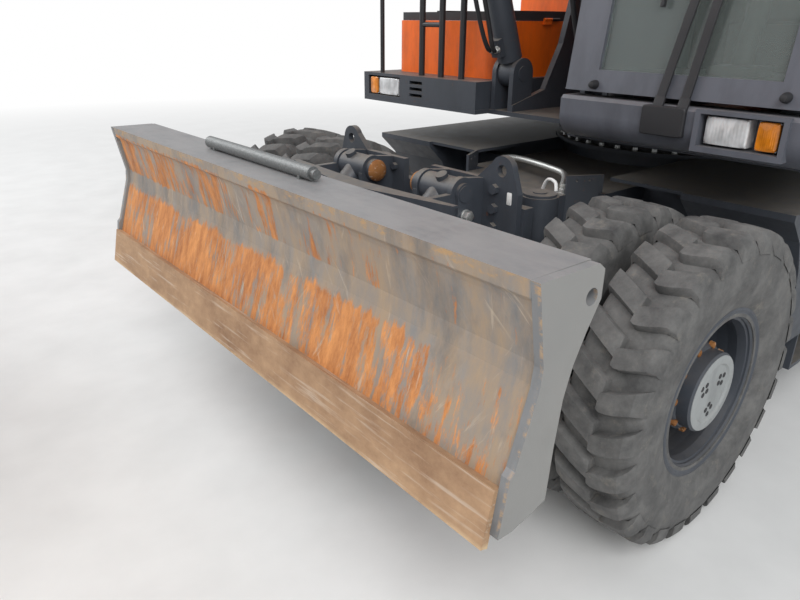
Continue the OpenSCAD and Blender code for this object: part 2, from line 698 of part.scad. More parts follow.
module bodywork() {
    t = 20;
    y0 = -body_half + 12;
    pocket = rib_in + rib_t + 40;
    color([0.93, 0.32, 0.04]) {
        difference() {
            union() {
                block([deck_back + 4, y0, seat_z], [right_back, -pocket, body_z]);
                block([deck_back + 4, -pocket - 1, seat_z], [centre_back, pocket + 1, body_z]);
                block([deck_back + 4, pocket, seat_z], [cab_back - 20, body_half, body_z]);
            }
            block([deck_back + 4 + t, y0 + t, seat_z - 10], [right_back - t, -pocket - t, body_z - t]);
            block([deck_back + 4 + t, -pocket - t - 1, seat_z - 10],
                [centre_back - t, pocket + t + 1, body_z - t]);
            block([deck_back + 4 + t, pocket + t, seat_z - 10], [cab_back - 20 - t, body_half - t,
                body_z - t]);
            // Openings for the doors and under the hood
            for (s = [-1, 1]) block([door_run[0] - 6, s < 0 ? y0 - 5 : body_half - t - 5, door_z[0] - 6],
                [door_run[1] + 6, s < 0 ? y0 + t + 5 : body_half + 5, door_z[1] + 6]);
            block([hood_x[0] + 60, -700, body_z - t - 10], [hood_x[1] - 60, 700, body_z + 10]);
        }
        // Leaves of the hood's hinges, then the doors' lower leaves
        both_sides() {
            pin(hood_pin, 440, 500, 7);
            block([hood_pin[0] - 6, 440, body_z - 5], [hood_pin[0] + 6, 500, hood_pin[1]]);
        }
        for (z = hinge_zs) {
            hinge_leaf(door_run[0] - 6, body_half, z - 60, 60);
            mirror([0, 1, 0]) hinge_leaf(door_run[0] - 6, -y0, z - 60, 60);
        }
    }
}
hinge_zs = [1500, 1800];
hinge_r = 9;
module hinge_leaf(x, y, z, h) {
    translate([x, y + hinge_r + 0.5, z]) cylinder(r=hinge_r, h=h);
    block([x - 22, y - 4, z], [x, y + 4, z + h]);
}
module service_door(y1) {
    block([door_run[0], y1 - 20, door_z[0]], [door_run[1], y1, door_z[1]]);
    for (z = hinge_zs) {
        translate([door_run[0] - 6, y1 + hinge_r + 0.5, z + snug]) cylinder(r=hinge_r, h=60);
        block([door_run[0] - 6, y1 - 1, z + snug], [door_run[0] + 25, y1 + 5, z + 60]);
    }
}
module service_door_left() {
    color([0.93, 0.32, 0.04]) difference() {
        service_door(body_half);
        for (i = [0:7]) block([-1360, body_half - 30, 1480 + i * 45], [-860, body_half + 1, 1502 + i * 45]);
    }
}
module service_door_right() {
    color([0.93, 0.32, 0.04]) mirror([0, 1, 0]) service_door(body_half - 12);
}
hood_x = [-1540, -660];
hood_pin = [hood_x[0] - 8, body_z + 8];
module hood() {
    color([0.16, 0.17, 0.18]) {
        both_sides() {
            pin(hood_pin, 500 + snug, 560, 7);
            block([hood_pin[0], 500 + snug, hood_pin[1] - 6], [hood_x[0] + 5, 560, hood_pin[1] + 6]);
        }
        difference() {
            plate([[hood_x[0], body_z + snug], [hood_x[1], body_z + snug], [hood_x[1], hood_top - 60],
                [hood_x[1] - 60, hood_top], [hood_x[0] + 40, hood_top], [hood_x[0], hood_top - 40]], -760,
                760);
            block([hood_x[0] + 20, -740, body_z - 10], [hood_x[1] - 20, 740, hood_top - 80]);
            block([hood_x[0] + 60, -700, body_z - 10], [hood_x[1] - 80, 700, hood_top - 20]);
            for (i = [0:6]) block([-1200 + i * 50, -600, hood_top - 30],
                [-1180 + i * 50, -150, hood_top + 10]);
        }
    }
}
tool_in = 375;
tool_back = -330;
lid_pin = [-tool_in + 9, tool_top + 8];
module lid_hinge(x, leaf) {
    translate([x, lid_pin[0], lid_pin[1]]) rotate([0, 90, 0]) cylinder(r=7, h=60);
    block([x, -tool_in - 4, leaf[0]], [x + 60, lid_pin[0], leaf[1]]);
}
module tool_box() {
    y0 = -body_half + 85;
    color([0.93, 0.32, 0.04]) for (x = [0, 400]) lid_hinge(x, [tool_top - 16, tool_top - 4]);
    color([0.93, 0.32, 0.04]) for (x = [0, 400]) block([x, -tool_in + 1, tool_top - 16],
        [x + 60, lid_pin[0] + 4, lid_pin[1]]);
    color([0.93, 0.32, 0.04]) difference() {
        union() {
            block([tool_back, y0 + 70, seat_z], [tool_x, -tool_in - 70, tool_top]);
            block([tool_back, y0, seat_z], [tool_x - 70, -tool_in, tool_top]);
            for (y = [y0 + 70, -tool_in - 70]) translate([tool_x - 70, y, seat_z])
                cylinder(r=70, h=tool_top - seat_z);
        }
        block([tool_back + 20, y0 + 20, seat_z + 20], [tool_x - 80, -tool_in - 20, tool_top + 5]);
    }
}
module tool_lid() {
    y0 = -body_half + 85;
    color([0.16, 0.17, 0.18]) {
        for (x = [60 + snug, 340 - snug]) lid_hinge(x, [tool_top + 3, tool_top + 13]);
        block([tool_back, y0 + 4, tool_top + snug], [tool_x - 45, -tool_in, tool_top + 42]);
        for (y = [y0 + 200, -tool_in - 200]) block([tool_back + 80, y - 40, tool_top + 40],
            [tool_x - 160, y + 40, tool_top + 50]);
    }
}
module lamp_box() {
    y0 = -body_half + 12;
    x1 = front_right_x - snug;
    color([0.13, 0.14, 0.15]) difference() {
        block([-330, y0, deck_top + snug], [x1, -333, skirt_top]);
        block([-310, y0 + 20, deck_z], [x1 - 100, -353, skirt_top - 15]);
        block([x1 - 60, lamp_right[0][0] - 15, deck_top + 14],
            [x1 + 5, lamp_right[1][1] + 15, skirt_top - 15]);
        for (i = [0:2]) block([x1 - 60, y0 + 400, deck_top + 25 + i * 32],
            [x1 + 5, y0 + 500, deck_top + 41 + i * 32]);
    }
}
rail_x = 900;
rail_top = skirt_top + 760;
module handrails() {
    r = 16;
    posts = [for (d = [430, 580, 730]) d - body_half];
    color([0.14, 0.15, 0.16]) {
        for (y = posts) translate([rail_x, y, skirt_top + snug]) cylinder(r=r, h=rail_top - skirt_top - snug);
        for (z = [1580, 1830, 2075]) translate([rail_x, posts[1], z]) rotate([90, 0, 0])
            cylinder(r=12, h=150);
        translate([rail_x, posts[2], 2075]) rotate([90, 0, 0]) cylinder(r=12, h=150);
        // Thin rail at the outer corner
        translate([rail_x + 40, 145 - body_half, skirt_top + snug]) cylinder(r=12, h=620);
        // Rail along the engine bay
        for (x = [-1450, -480]) translate([x, 85 - body_half, body_z + snug]) cylinder(r=14, h=330);
        translate([-1464, 85 - body_half, body_z + 316]) rotate([0, 90, 0]) cylinder(r=14, h=998);
    }
}

// Cab
lean = tan(screen_lean);
cab_back = cab_x - cab_len;
function screen_x(z) = cab_x - (z - cab_floor) * lean;
cab_y1 = body_half;
brow = cab_roof - 120;
function cab_outline(t) = [[cab_x - t * 1.01, cab_floor + t], [screen_x(brow) - t, brow - t * 0.4],
    [screen_x(brow) - 90, cab_roof - t], [cab_back + 90 + t * 0.4, cab_roof - t],
    [cab_back + t, brow - t * 0.4], [cab_back + t, cab_floor + t]];
sill = 1440;
door_x = [80, 1010];
cab_hinge_zs = [1640, 2700];
module cab_shell() {
    color([0.22, 0.23, 0.25]) for (z = cab_hinge_zs) {
        translate([door_x[0], cab_y1 + 10, z - 60]) cylinder(r=9, h=60);
        block([door_x[0] - 40, cab_y1 - 5, z - 60], [door_x[0], cab_y1 + 10, z]);
    }
    color([0.22, 0.23, 0.25]) difference() {
        plate(cab_outline(0), cab_y, cab_y1);
        plate(cab_outline(wall_t), cab_y + wall_t, cab_y1 - wall_t);
        // Windscreen, rear window and roof hatch
        plate([[screen_x(sill) - 150, sill], [screen_x(sill) + 50, sill], [screen_x(brow) + 50, brow - 60],
            [screen_x(brow) - 150, brow - 60]], cab_y + 130, cab_y1 - 110);
        block([cab_back - 10, cab_y + 130, 2000], [cab_back + wall_t + 10, cab_y1 - 130, brow - 60]);
        block([250, cab_y + 170, cab_roof - wall_t - 10], [850, cab_y1 - 170, cab_roof + 10]);
        // Right window
        plate([[cab_back + 120, 1750], [screen_x(1750) - 110, 1750], [screen_x(brow) - 110, brow - 60],
            [cab_back + 120, brow - 60]], cab_y - 10, cab_y + wall_t + 10);
        // Doorway and rear quarter window
        plate(door_outline(0), cab_y1 - wall_t - 10, cab_y1 + 10);
        plate([[cab_back + 110, 2000], [door_x[0] - 90, 2000], [door_x[0] - 90, brow - 60],
            [cab_back + 110, brow - 60]], cab_y1 - wall_t - 10, cab_y1 + 10);
    }
}
function door_outline(t) = [[door_x[0] + t, cab_floor + 60 + t], [door_x[1] + 60 - t, cab_floor + 60 + t],
    [door_x[1] + 60 - t, 1600], [screen_x(brow) - 90 - t, brow - 50 - t], [door_x[0] + t, brow - 50 - t]];
door_gap = 6;
module cab_door() {
    color([0.22, 0.23, 0.25]) {
        difference() {
            plate(door_outline(door_gap), cab_y1 - 42, cab_y1);
            plate([[door_x[0] + 80, 2100], [door_x[1] - 110, 2100], [screen_x(brow) - 190, brow - 140],
                [door_x[0] + 80, brow - 140]], cab_y1 - 60, cab_y1 + 10);
            plate([[door_x[0] + 110, 1580], [door_x[1] - 40, 1580], [door_x[1] - 60, 2000],
                [door_x[0] + 80, 2000]], cab_y1 - 60, cab_y1 + 10);
        }
        for (z = cab_hinge_zs) {
            translate([door_x[0], cab_y1 + 10, z + snug]) cylinder(r=9, h=60);
            block([door_x[0], cab_y1 - 1, z + snug], [door_x[0] + 40, cab_y1 + 10, z + 60]);
        }
    }
}
module door_glass() {
    y0 = cab_y1 - 24;
    color([0.5, 0.6, 0.6, 0.4]) {
        plate([[door_x[0] + 80 + snug, 2100 + snug], [door_x[1] - 110 - snug, 2100 + snug],
            [screen_x(brow) - 190 - snug, brow - 140 - snug], [door_x[0] + 80 + snug, brow - 140 - snug]],
            y0, y0 + glass_t);
        plate([[door_x[0] + 110 + snug, 1580 + snug], [door_x[1] - 40 - 2 * snug, 1580 + snug],
            [door_x[1] - 60 - 2 * snug, 2000 - snug], [door_x[0] + 80 + 2 * snug, 2000 - snug]], y0,
            y0 + glass_t);
    }
}
module cab_glass() {
    color([0.5, 0.6, 0.6, 0.4]) {
        plate([[screen_x(sill + snug) - 22, sill + snug], [screen_x(sill + snug) - 22 + glass_t,
            sill + snug], [screen_x(brow - 60) - 22 + glass_t, brow - 60 - snug],
            [screen_x(brow - 60) - 22, brow - 60 - snug]], cab_y + 130 + snug, cab_y1 - 110 - snug);
        block([cab_back + 20, cab_y + 130 + snug, 2000 + snug],
            [cab_back + 20 + glass_t, cab_y1 - 130 - snug, brow - 60 - snug]);
        block([250 + snug, cab_y + 170 + snug, cab_roof - 30],
            [850 - snug, cab_y1 - 170 - snug, cab_roof - 30 + glass_t]);
        plate([[cab_back + 120 + snug, 1750 + snug], [screen_x(1750) - 110 - 2 * snug, 1750 + snug],
            [screen_x(brow) - 110 - 2 * snug, brow - 60 - snug],
            [cab_back + 120 + snug, brow - 60 - snug]], cab_y + 20, cab_y + 20 + glass_t);
        plate([[cab_back + 110 + snug, 2000 + snug], [door_x[0] - 90 - snug, 2000 + snug],
            [door_x[0] - 90 - snug, brow - 60 - snug], [cab_back + 110 + snug, brow - 60 - snug]],
            cab_y1 - 26, cab_y1 - 26 + glass_t);
    }
}
lamp_y = [930, 1065];
blink_y = [1092, 1155];
lamp_z = [1240, 1325];
lamp_right = [[-1165, -1105], [-1085, -920]];
lamp_deep = 60;
module cab_bumper() {
    x0 = 1120 + snug;
    x1 = cab_x + 22;
    color([0.30, 0.31, 0.34]) difference() {
        union() {
            plate([[x0, deck_z + 10], [x1 - 90, deck_z + 10], [x1 - 90, deck_z + 100], [x1, deck_z + 100],
                [x1, 1334], [x1 - 12, 1346], [x0, 1346]], cab_y, cab_y1);
            intersection() {
                pin([x1 - 90, deck_z + 100], cab_y, cab_y1, 90);
                block([x0, cab_y, deck_z], [x1 + 5, cab_y1, deck_z + 101]);
            }
            // Raised frame round the lamps
            block([x1 - 80, lamp_y[0] - 32, lamp_z[0] - 26], [x1 + 12, blink_y[1] + 30, lamp_z[1] + 20]);
        }
        block([x1 - lamp_deep, lamp_y[0] - 14, lamp_z[0] - 8], [x1 + 20, blink_y[1] + 14, lamp_z[1] + 8]);
    }
}
module lamps() {
    x1 = cab_x + 22;
    x2 = front_right_x - snug;
    color([0.9, 0.9, 0.92]) {
        for (y = [lamp_y, blink_y]) block([x1 - lamp_deep + snug, y[0], lamp_z[0]],
            [x1 - 12, y[1], lamp_z[1]]);
        for (y = lamp_right) block([x2 - 60 + snug, y[0], deck_top + 20], [x2 - 8, y[1], skirt_top - 24]);
    }
}
seat_w = 460;
console_w = 120;
// The consoles stand beside the seat and inside the walls
console_side = min(seat_w / 2 + console_w + 10, (cab_y1 - cab_y) / 2 - wall_t - 20);
seat_half = console_side - console_w - 10;
cab_mid = (cab_y + cab_y1) / 2;
floor_z = cab_floor + wall_t + snug;
module cab_interior() {
    y = cab_mid;
    z = floor_z;
    color([0.15, 0.15, 0.16]) {
        block([-60, y - seat_half, z], [420, y + seat_half, z + 180]);
        for (s = [-1, 1]) block([-20, y + s * (console_side - console_w / 2) - console_w / 2, z],
            [460, y + s * (console_side - console_w / 2) + console_w / 2, z + 420]);
        // Steering column with its wheel
        translate([760, y, z]) rotate([0, -14, 0]) {
            translate([0, 0, 20]) cylinder(r=38, h=470);
            translate([0, 0, 478]) cylinder(r=44, h=30);
            translate([0, 0, 496]) rotate_extrude() translate([178, 0]) circle(r=14);
            for (i = [0:2]) rotate([0, 0, 90 + i * 120]) block([0, -15, 488], [176, 15, 500]);
        }
        block([690, y - 90, z], [830, y + 90, z + 40]);
    }
}
module seat() {
    y = cab_mid;
    z = floor_z + 180 + snug;
    color([0.12, 0.12, 0.13]) {
        block([-80, y - seat_half + 10, z], [420, y + seat_half - 10, z + 140]);
        translate([-70, y, z + 120]) rotate([0, -10, 0]) block([-110, 15 - seat_half, 0],
            [0, seat_half - 15, 640]);
    }
}
mirror_z = 2400;
module mirrors() {
    x = screen_x(mirror_z - 50);
    y = 430 - body_half;
    color([0.12, 0.12, 0.13]) {
        // Left mirror ahead of the windscreen pillar and right mirror on the hand rail
        block([x + snug, cab_y1 - 70, mirror_z - 50], [x + 20, cab_y1 - 20, mirror_z + 60]);
        block([x + 10, cab_y1 - 57, mirror_z - 12], [x + 150, cab_y1 - 33, mirror_z + 12]);
        block([x + 140, cab_y1 - 178, mirror_z - 180], [x + 172, cab_y1 + 8, mirror_z + 180]);
        block([rail_x - 20, y - 25, rail_top + snug], [rail_x + 20, y + 25, 2120]);
        block([rail_x - 12, y - 12, 2110], [rail_x + 12, y + 12, 2330]);
        block([rail_x - 16, y - 95, 2250], [rail_x + 16, y + 105, 2600]);
    }
}

// Boom and stick, drawn in their own frames: u along the pin line, w above it
boom_top = [[-60, 120], [1250, 850], [1650, 985], [2100, 990], [2600, 880], [4560, 190], [boom_len, 115]];
boom_under = [[boom_len, -110], [4480, -95], [2650, 440], [2200, 520], [1800, 500], [1450, 380], [60, -120]];
module hollow_arm(top, under, half, t) {
    outline = concat(top, under);
    for (s = [-1, 1]) plate(outline, s < 0 ? -half : half - t, s < 0 ? -half + t : half);
    for (edge = [top, under]) {
        n = len(edge);
        down = edge == top ? -1 : 1;
        plate(concat(edge, [for (i = [n - 1:-1:0]) edge[i] + [0, down * t]]), -half + t - 1, half - t + 1);
    }
}
boom_pin = [1750, 640];
boom_rod_pin = boom_foot + turned(boom_up, boom_pin[0], boom_pin[1]);
stick_cyl_pin = [2300, 1120];
fork_in = stick_half + 8;
module boom() {
    color([0.93, 0.32, 0.04]) along(boom_foot, boom_tip) {
        difference() {
            union() {
                hollow_arm(boom_top, boom_under, boom_half, boom_t);
                pin([0, 0], -boom_half, boom_half, 130);
                pin([0, 0], -rib_in - rib_t - 6, rib_in + rib_t + 6, 55);
                // Tip fork round the stick
                both_sides() {
                    strap([boom_len - 640, 60], [boom_len, 0], 112, fork_in, fork_in + 30);
                    pin([boom_len, 0], fork_in - 8, fork_in + 42, 60);
                    // Ears of the stick cylinder
                    plate([[2020, 960], [2560, 860], [stick_cyl_pin[0] + 60, stick_cyl_pin[1] + 40],
                        [stick_cyl_pin[0], stick_cyl_pin[1] + 68], [stick_cyl_pin[0] - 60,
                        stick_cyl_pin[1] + 40]], stick_cyl_r + 5, stick_cyl_r + 30);
                }
                pin(stick_cyl_pin, -stick_cyl_r - 38, stick_cyl_r + 38, 35);
                pin(boom_pin, -boom_cyl_y + 47, boom_cyl_y - 47, 95);
            }
            // Room for the stick's head inside the fork
            block([boom_len - 400, -fork_in, -300], [boom_len + 300, fork_in, 400]);
        }
        pin([boom_len, 0], -fork_in - 2, fork_in + 2, 45);
    }
}
boom_cyl_r = 58;
stick_cyl_r = 66;
bucket_cyl_r = 56;
module boom_barrels() {
    color([0.15, 0.16, 0.17]) both_sides() along(boom_cyl_foot, boom_rod_pin) {
        barrel(boom_cyl_y, 1250, boom_cyl_r, 62, 38, 35, 34);
        // Port block at the foot
        block([110, boom_cyl_y - 28, -boom_cyl_r - 26], [190, boom_cyl_y + 28, -boom_cyl_r + 8]);
    }
}
module boom_rods() {
    color([0.78, 0.79, 0.80]) both_sides() along(boom_cyl_foot, boom_rod_pin)
        rod(boom_cyl_y, 620, norm(boom_rod_pin - boom_cyl_foot), 34, 68, 38, boom_cyl_r);
}
// Stick frame: u from the boom pin to the bucket pin, w to the rear, away from the boom's underside
stick_outline = [[-560, 330], [-480, 400], [-380, 385], [150, 260], [2200, 110], [stick_len, 85],
    [stick_len + 20, -85], [2150, -110], [220, -118], [0, -112], [-120, 40]];
stick_rod_pin_l = [-470, 330];
rocker_pin_l = [stick_len - 380, 40];
bucket_cyl_pin_l = [330, 400];
function on_stick(p) = boom_tip + turned(-stick_down, p[0], p[1]);
function on_boom(p) = boom_foot + turned(boom_up, p[0], p[1]);
module stick() {
    n = len(stick_outline);
    color([0.93, 0.32, 0.04]) along(boom_tip, bucket_pin) difference() {
        union() {
            for (s = [-1, 1]) plate(stick_outline, s < 0 ? -stick_half : stick_half - boom_t,
                s < 0 ? -stick_half + boom_t : stick_half);
            plate(concat([for (i = [3:5]) stick_outline[i]], [for (i = [5:-1:3])
                stick_outline[i] - [0, boom_t]]), -stick_half + 1, stick_half - 1);
            plate(concat([for (i = [6:8]) stick_outline[i]], [for (i = [8:-1:6])
                stick_outline[i] + [0, boom_t]]), -stick_half + 1, stick_half - 1);
            plate(concat([for (i = [8:10]) stick_outline[i]], [for (i = [10:-1:8])
                stick_outline[i] + [boom_t, boom_t]]), -stick_half + 1, stick_half - 1);
            pin([0, 0], -stick_half, stick_half, 110);
            pin([stick_len, 0], -stick_half, stick_half, 85);
            pin(rocker_pin_l, -stick_half - 30, stick_half + 30, 36);
            both_sides() pin(stick_rod_pin_l, 70, stick_half + 5, 56);
            both_sides() plate([[60, 250], [620, 200], [bucket_cyl_pin_l[0] + 60,
                bucket_cyl_pin_l[1] + 40], [bucket_cyl_pin_l[0], bucket_cyl_pin_l[1] + 62],
                [bucket_cyl_pin_l[0] - 60, bucket_cyl_pin_l[1] + 40]], bucket_cyl_r + 6, bucket_cyl_r + 28);
            pin(bucket_cyl_pin_l, -bucket_cyl_r - 36, bucket_cyl_r + 36, 30);
        }
        pin([0, 0], -stick_half - 5, stick_half + 5, 45 + snug);
        pin([stick_len, 0], -stick_half - 5, stick_half + 5, 40 + snug);
    }
}
module stick_barrel() {
    color([0.15, 0.16, 0.17]) along(on_boom(stick_cyl_pin), on_stick(stick_rod_pin_l))
        barrel(0, 1600, stick_cyl_r, 66, 55, 35, 40);
}
module stick_rod() {
    a = on_boom(stick_cyl_pin);
    b = on_stick(stick_rod_pin_l);
    color([0.78, 0.79, 0.80]) along(a, b) rod(0, 800, norm(b - a), 40, 60, 56, stick_cyl_r);
}

// Bucket frame: u from its pin to the teeth, w to its back
function on_bucket(p) = bucket_pin + turned(-90 - bucket_in, p[0], p[1]);
bucket_link_pin_l = [-120, 300];
bucket_half = bucket_w / 2;
rocker_len = 420;
rocker_angle = 80;
rocker_end_l = rocker_pin_l + turned(rocker_angle, rocker_len, 0);
bucket_t = 16;
bucket_mid = [520, 330];
bucket_back = [[90, 110], [10, 190], [-34, 320], [10, 480], [140, 640], [360, 740], [620, 765], [860, 700],
    [1040, 540], [bucket_r - 110, 300], [bucket_r - 60, 120]];
module bucket() {
    n = len(bucket_back);
    inside = [for (q = bucket_back) q + (bucket_mid - q) * bucket_t / norm(bucket_mid - q)];
    ear_out = fork_in + 36;
    color([0.17, 0.17, 0.18]) translate([bucket_pin[0], 0, bucket_pin[1]]) rotate([0, 90 + bucket_in, 0]) {
        // Side plates, then the curved back
        for (s = [-1, 1]) plate(concat(bucket_back, [[bucket_r - 130, 40], [700, 150]]),
            s < 0 ? -bucket_half : bucket_half - 22, s < 0 ? -bucket_half + 22 : bucket_half);
        plate(concat(bucket_back, [for (i = [n - 1:-1:0]) inside[i]]), -bucket_half + 2, bucket_half - 2);
        // Ears
        both_sides() difference() {
            union() {
                plate([[-60, -70], [70, -70], [200, 120], [130, 630], [-20, 480], [-130, 400],
                    [-180, 300], [-170, 250]], ear_out - 30, ear_out);
                pin(bucket_link_pin_l, ear_out - 50, ear_out, 62);
            }
            pin(bucket_link_pin_l, 100, 300, 30 + snug);
        }
        pin([0, 0], -ear_out - 4, ear_out + 4, 40);
        for (i = [0:4]) let (y = -bucket_half + 60 + i * (bucket_w - 120) / 4)
            plate([[bucket_r - 180, 100], [bucket_r - 60, 70], [bucket_r, 30], [bucket_r - 50, 140],
                [bucket_r - 130, 240]], y - 38, y + 38);
    }
}
module rocker() {
    a = on_stick(rocker_pin_l);
    b = on_stick(rocker_end_l);
    color([0.16, 0.17, 0.18]) both_sides() {
        difference() {
            strap(a, b, 52, stick_half + 6, stick_half + 29);
            pin(a, stick_half, stick_half + 40, 36 + snug);
        }
        pin(b, 74, stick_half + 40, 32);
    }
}
module bucket_link() {
    a = on_stick(rocker_end_l);
    b = on_bucket(bucket_link_pin_l);
    color([0.16, 0.17, 0.18]) difference() {
        union() {
            for (s = [-1, 1]) translate([0, s * 105, 0]) strap(a, b, 48, -22, 22);
            pin(b, -125, 125, 48);
        }
        pin(a, -200, 200, 32 + snug);
    }
}
module bucket_barrel() {
    color([0.15, 0.16, 0.17]) along(on_stick(bucket_cyl_pin_l), on_stick(rocker_end_l))
        barrel(0, 1000, bucket_cyl_r, 58, 50, 30, 34);
}
module bucket_rod() {
    a = on_stick(bucket_cyl_pin_l);
    b = on_stick(rocker_end_l);
    color([0.78, 0.79, 0.80]) along(a, b) rod(0, 560, norm(b - a), 34, 55, 60, bucket_cyl_r);
}

module placed() {
    translate([-mid_x, 0, 0]) children();
}
placed() chassis_frame();
placed() slew_ring();
placed() blade_bracket();
placed() bracket_ears();
placed() hose_guard();
placed() step_boxes();
placed() front_axle();
placed() rear_axle();
placed() lock_cylinders();
placed() track_rod();
placed() translate([axle_front_x, 0, 0]) steered_knuckle();  // knuckle_left
placed() translate([axle_front_x, 0, 0]) mirror([0, 1, 0])  // knuckle_right
    steered_knuckle();
placed() on_wheel(axle_front_x, 1) twin_rims();  // rim_front_left
placed() on_wheel(axle_front_x, -1) twin_rims();  // rim_front_right
placed() on_wheel(axle_rear_x, 1) twin_rims();  // rim_rear_left
placed() on_wheel(axle_rear_x, -1) twin_rims();  // rim_rear_right
placed() on_wheel(axle_front_x, 1) twin_tyres();  // tyres_front_left
placed() on_wheel(axle_front_x, -1) twin_tyres();  // tyres_front_right
placed() on_wheel(axle_rear_x, 1) twin_tyres();  // tyres_rear_left
placed() on_wheel(axle_rear_x, -1) twin_tyres();  // tyres_rear_right
placed() blade_arms();
placed() blade_link();
placed() blade_plate();
placed() end_plate();  // blade_end_left
placed() mirror([0, 1, 0]) end_plate();  // blade_end_right
placed() cutting_edge();
placed() blade_tube();
placed() blade_barrels();
placed() blade_rods();
placed() deck();
placed() counterweight();
placed() engine();
placed() bodywork();
placed() hood();
placed() service_door_left();
placed() service_door_right();
placed() tool_box();
placed() tool_lid();
placed() lamp_box();
placed() handrails();
placed() cab_shell();
placed() cab_glass();
placed() cab_bumper();
placed() cab_interior();
placed() seat();
placed() lamps();
placed() mirrors();
placed() cab_door();
placed() door_glass();
placed() boom();
placed() boom_barrels();
placed() boom_rods();
placed() stick();
placed() stick_barrel();
placed() stick_rod();
placed() bucket();
placed() bucket_barrel();
placed() bucket_rod();
placed() rocker();
placed() bucket_link();
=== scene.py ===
# %% [markdown]
# # Dressing a wheeled excavator
# The frame below is the machine's exact model: every body, pin and plate is at its real place.
# This lesson keeps those shapes, gives each a finish, and adds what a mould, a welder or the
# weather left on the real machine: tyre lugs, bolts, hoses, lamps, scratches, dust and rust.

# %% Load the frame
import json
import math
import bpy
import numpy as np
from mathutils import Matrix, Vector


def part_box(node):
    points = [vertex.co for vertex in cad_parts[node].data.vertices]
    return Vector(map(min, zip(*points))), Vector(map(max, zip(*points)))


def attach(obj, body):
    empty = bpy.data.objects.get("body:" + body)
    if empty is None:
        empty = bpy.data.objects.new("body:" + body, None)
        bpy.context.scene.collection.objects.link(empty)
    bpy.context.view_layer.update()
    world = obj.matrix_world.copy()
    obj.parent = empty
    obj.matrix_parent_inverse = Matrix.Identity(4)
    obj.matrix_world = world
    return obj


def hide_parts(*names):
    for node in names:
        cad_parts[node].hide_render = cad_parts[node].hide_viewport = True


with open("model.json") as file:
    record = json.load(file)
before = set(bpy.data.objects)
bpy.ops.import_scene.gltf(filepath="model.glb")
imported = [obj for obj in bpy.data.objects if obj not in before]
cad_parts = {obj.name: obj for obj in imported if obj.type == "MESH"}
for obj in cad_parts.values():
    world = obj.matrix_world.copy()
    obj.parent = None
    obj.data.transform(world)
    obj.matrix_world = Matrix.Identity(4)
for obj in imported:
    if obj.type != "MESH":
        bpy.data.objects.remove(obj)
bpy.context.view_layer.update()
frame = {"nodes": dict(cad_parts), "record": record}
SHIFT_X = -1.511         # this frame's X, less the X counted from the chassis' cross line

# %% [markdown]
# ## Camera
# The photograph was taken from 1.6 m above the ground, close to the blade's left corner, with a wide
# lens. The place and the turn below came from fitting a pinhole camera to the wheel, the blade's corners
# and the deck. A turn is built from three directions: ahead, right and up.

# %% Camera
EYE = (3.340 + SHIFT_X, 1.959, 1.600)
LOOK_YAW, LOOK_DOWN, HORIZON_ROLL = 230.24, 23.14, 0.36
LENS_MM, SENSOR_MM = 29.46, 36.0

def camera_axes(yaw, pitch, roll):
    """Columns right, up and back of a camera: ahead lies at yaw round Z and pitch below level."""
    y, p, r = (math.radians(v) for v in (yaw, pitch, roll))
    ahead = np.array([math.cos(y) * math.cos(p), math.sin(y) * math.cos(p), -math.sin(p)])
    right0 = np.array([math.sin(y), -math.cos(y), 0.0])
    up0 = np.cross(right0, ahead)
    right = math.cos(r) * right0 + math.sin(r) * up0
    return np.stack([right, np.cross(right, ahead), -ahead], axis=1)

def place_camera(at, yaw, pitch, roll, lens):
    """Put a camera at a point with camera_axes as its turn."""
    grid = np.eye(4)
    grid[:3, :3] = camera_axes(yaw, pitch, roll)
    grid[:3, 3] = at
    data = bpy.data.cameras.new("photo_camera")
    data.lens, data.sensor_width, data.clip_end = lens, SENSOR_MM, 200.0
    cam = bpy.data.objects.new("photo_camera", data)
    cam.matrix_world = Matrix(grid.tolist())
    bpy.context.scene.collection.objects.link(cam)
    bpy.context.scene.camera = cam
    return cam

camera = place_camera(EYE, LOOK_YAW, LOOK_DOWN, HORIZON_ROLL, LENS_MM)
print("camera at", tuple(round(v, 3) for v in camera.matrix_world.translation))

# %% [markdown]
# ## Light
# The photograph has an overcast sky: one huge soft source. The world gives most of the light, and two
# wide area lamps add a gentle direction. Camera rays, and rays that come through glass, see plain
# white in place of the sky, which puts no extra light on the machine.

# %% Sky and lamps
def world_light(strength, tint):
    """A plain sky: tint for lighting rays, white for rays that come from the camera or through glass."""
    world = bpy.data.worlds.new("overcast")
    world.use_nodes = True
    nt = world.node_tree
    nt.nodes.clear()
    out = nt.nodes.new("ShaderNodeOutputWorld")
    mix = nt.nodes.new("ShaderNodeMixShader")
    sky, back = nt.nodes.new("ShaderNodeBackground"), nt.nodes.new("ShaderNodeBackground")
    sky.inputs[0].default_value, sky.inputs[1].default_value = (*tint, 1), strength
    back.inputs[0].default_value, back.inputs[1].default_value = (1, 1, 1, 1), 1.0
    path = nt.nodes.new("ShaderNodeLightPath")
    seen = nt.nodes.new("ShaderNodeMath")
    seen.operation = "MAXIMUM"
    nt.links.new(path.outputs["Is Camera Ray"], seen.inputs[0])
    nt.links.new(path.outputs["Is Transmission Ray"], seen.inputs[1])
    nt.links.new(seen.outputs[0], mix.inputs[0])
    nt.links.new(sky.outputs[0], mix.inputs[1])
    nt.links.new(back.outputs[0], mix.inputs[2])
    nt.links.new(mix.outputs[0], out.inputs[0])
    bpy.context.scene.world = world

def area_lamp(name, at, towards, size, watts):
    """A square soft lamp that looks from at towards a point."""
    data = bpy.data.lights.new(name, "AREA")
    data.shape, data.size, data.energy = "SQUARE", size, watts
    lamp = bpy.data.objects.new(name, data)
    lamp.location = at
    lamp.rotation_euler = (Vector(towards) - Vector(at)).to_track_quat("-Z", "Y").to_euler()
    bpy.context.scene.collection.objects.link(lamp)

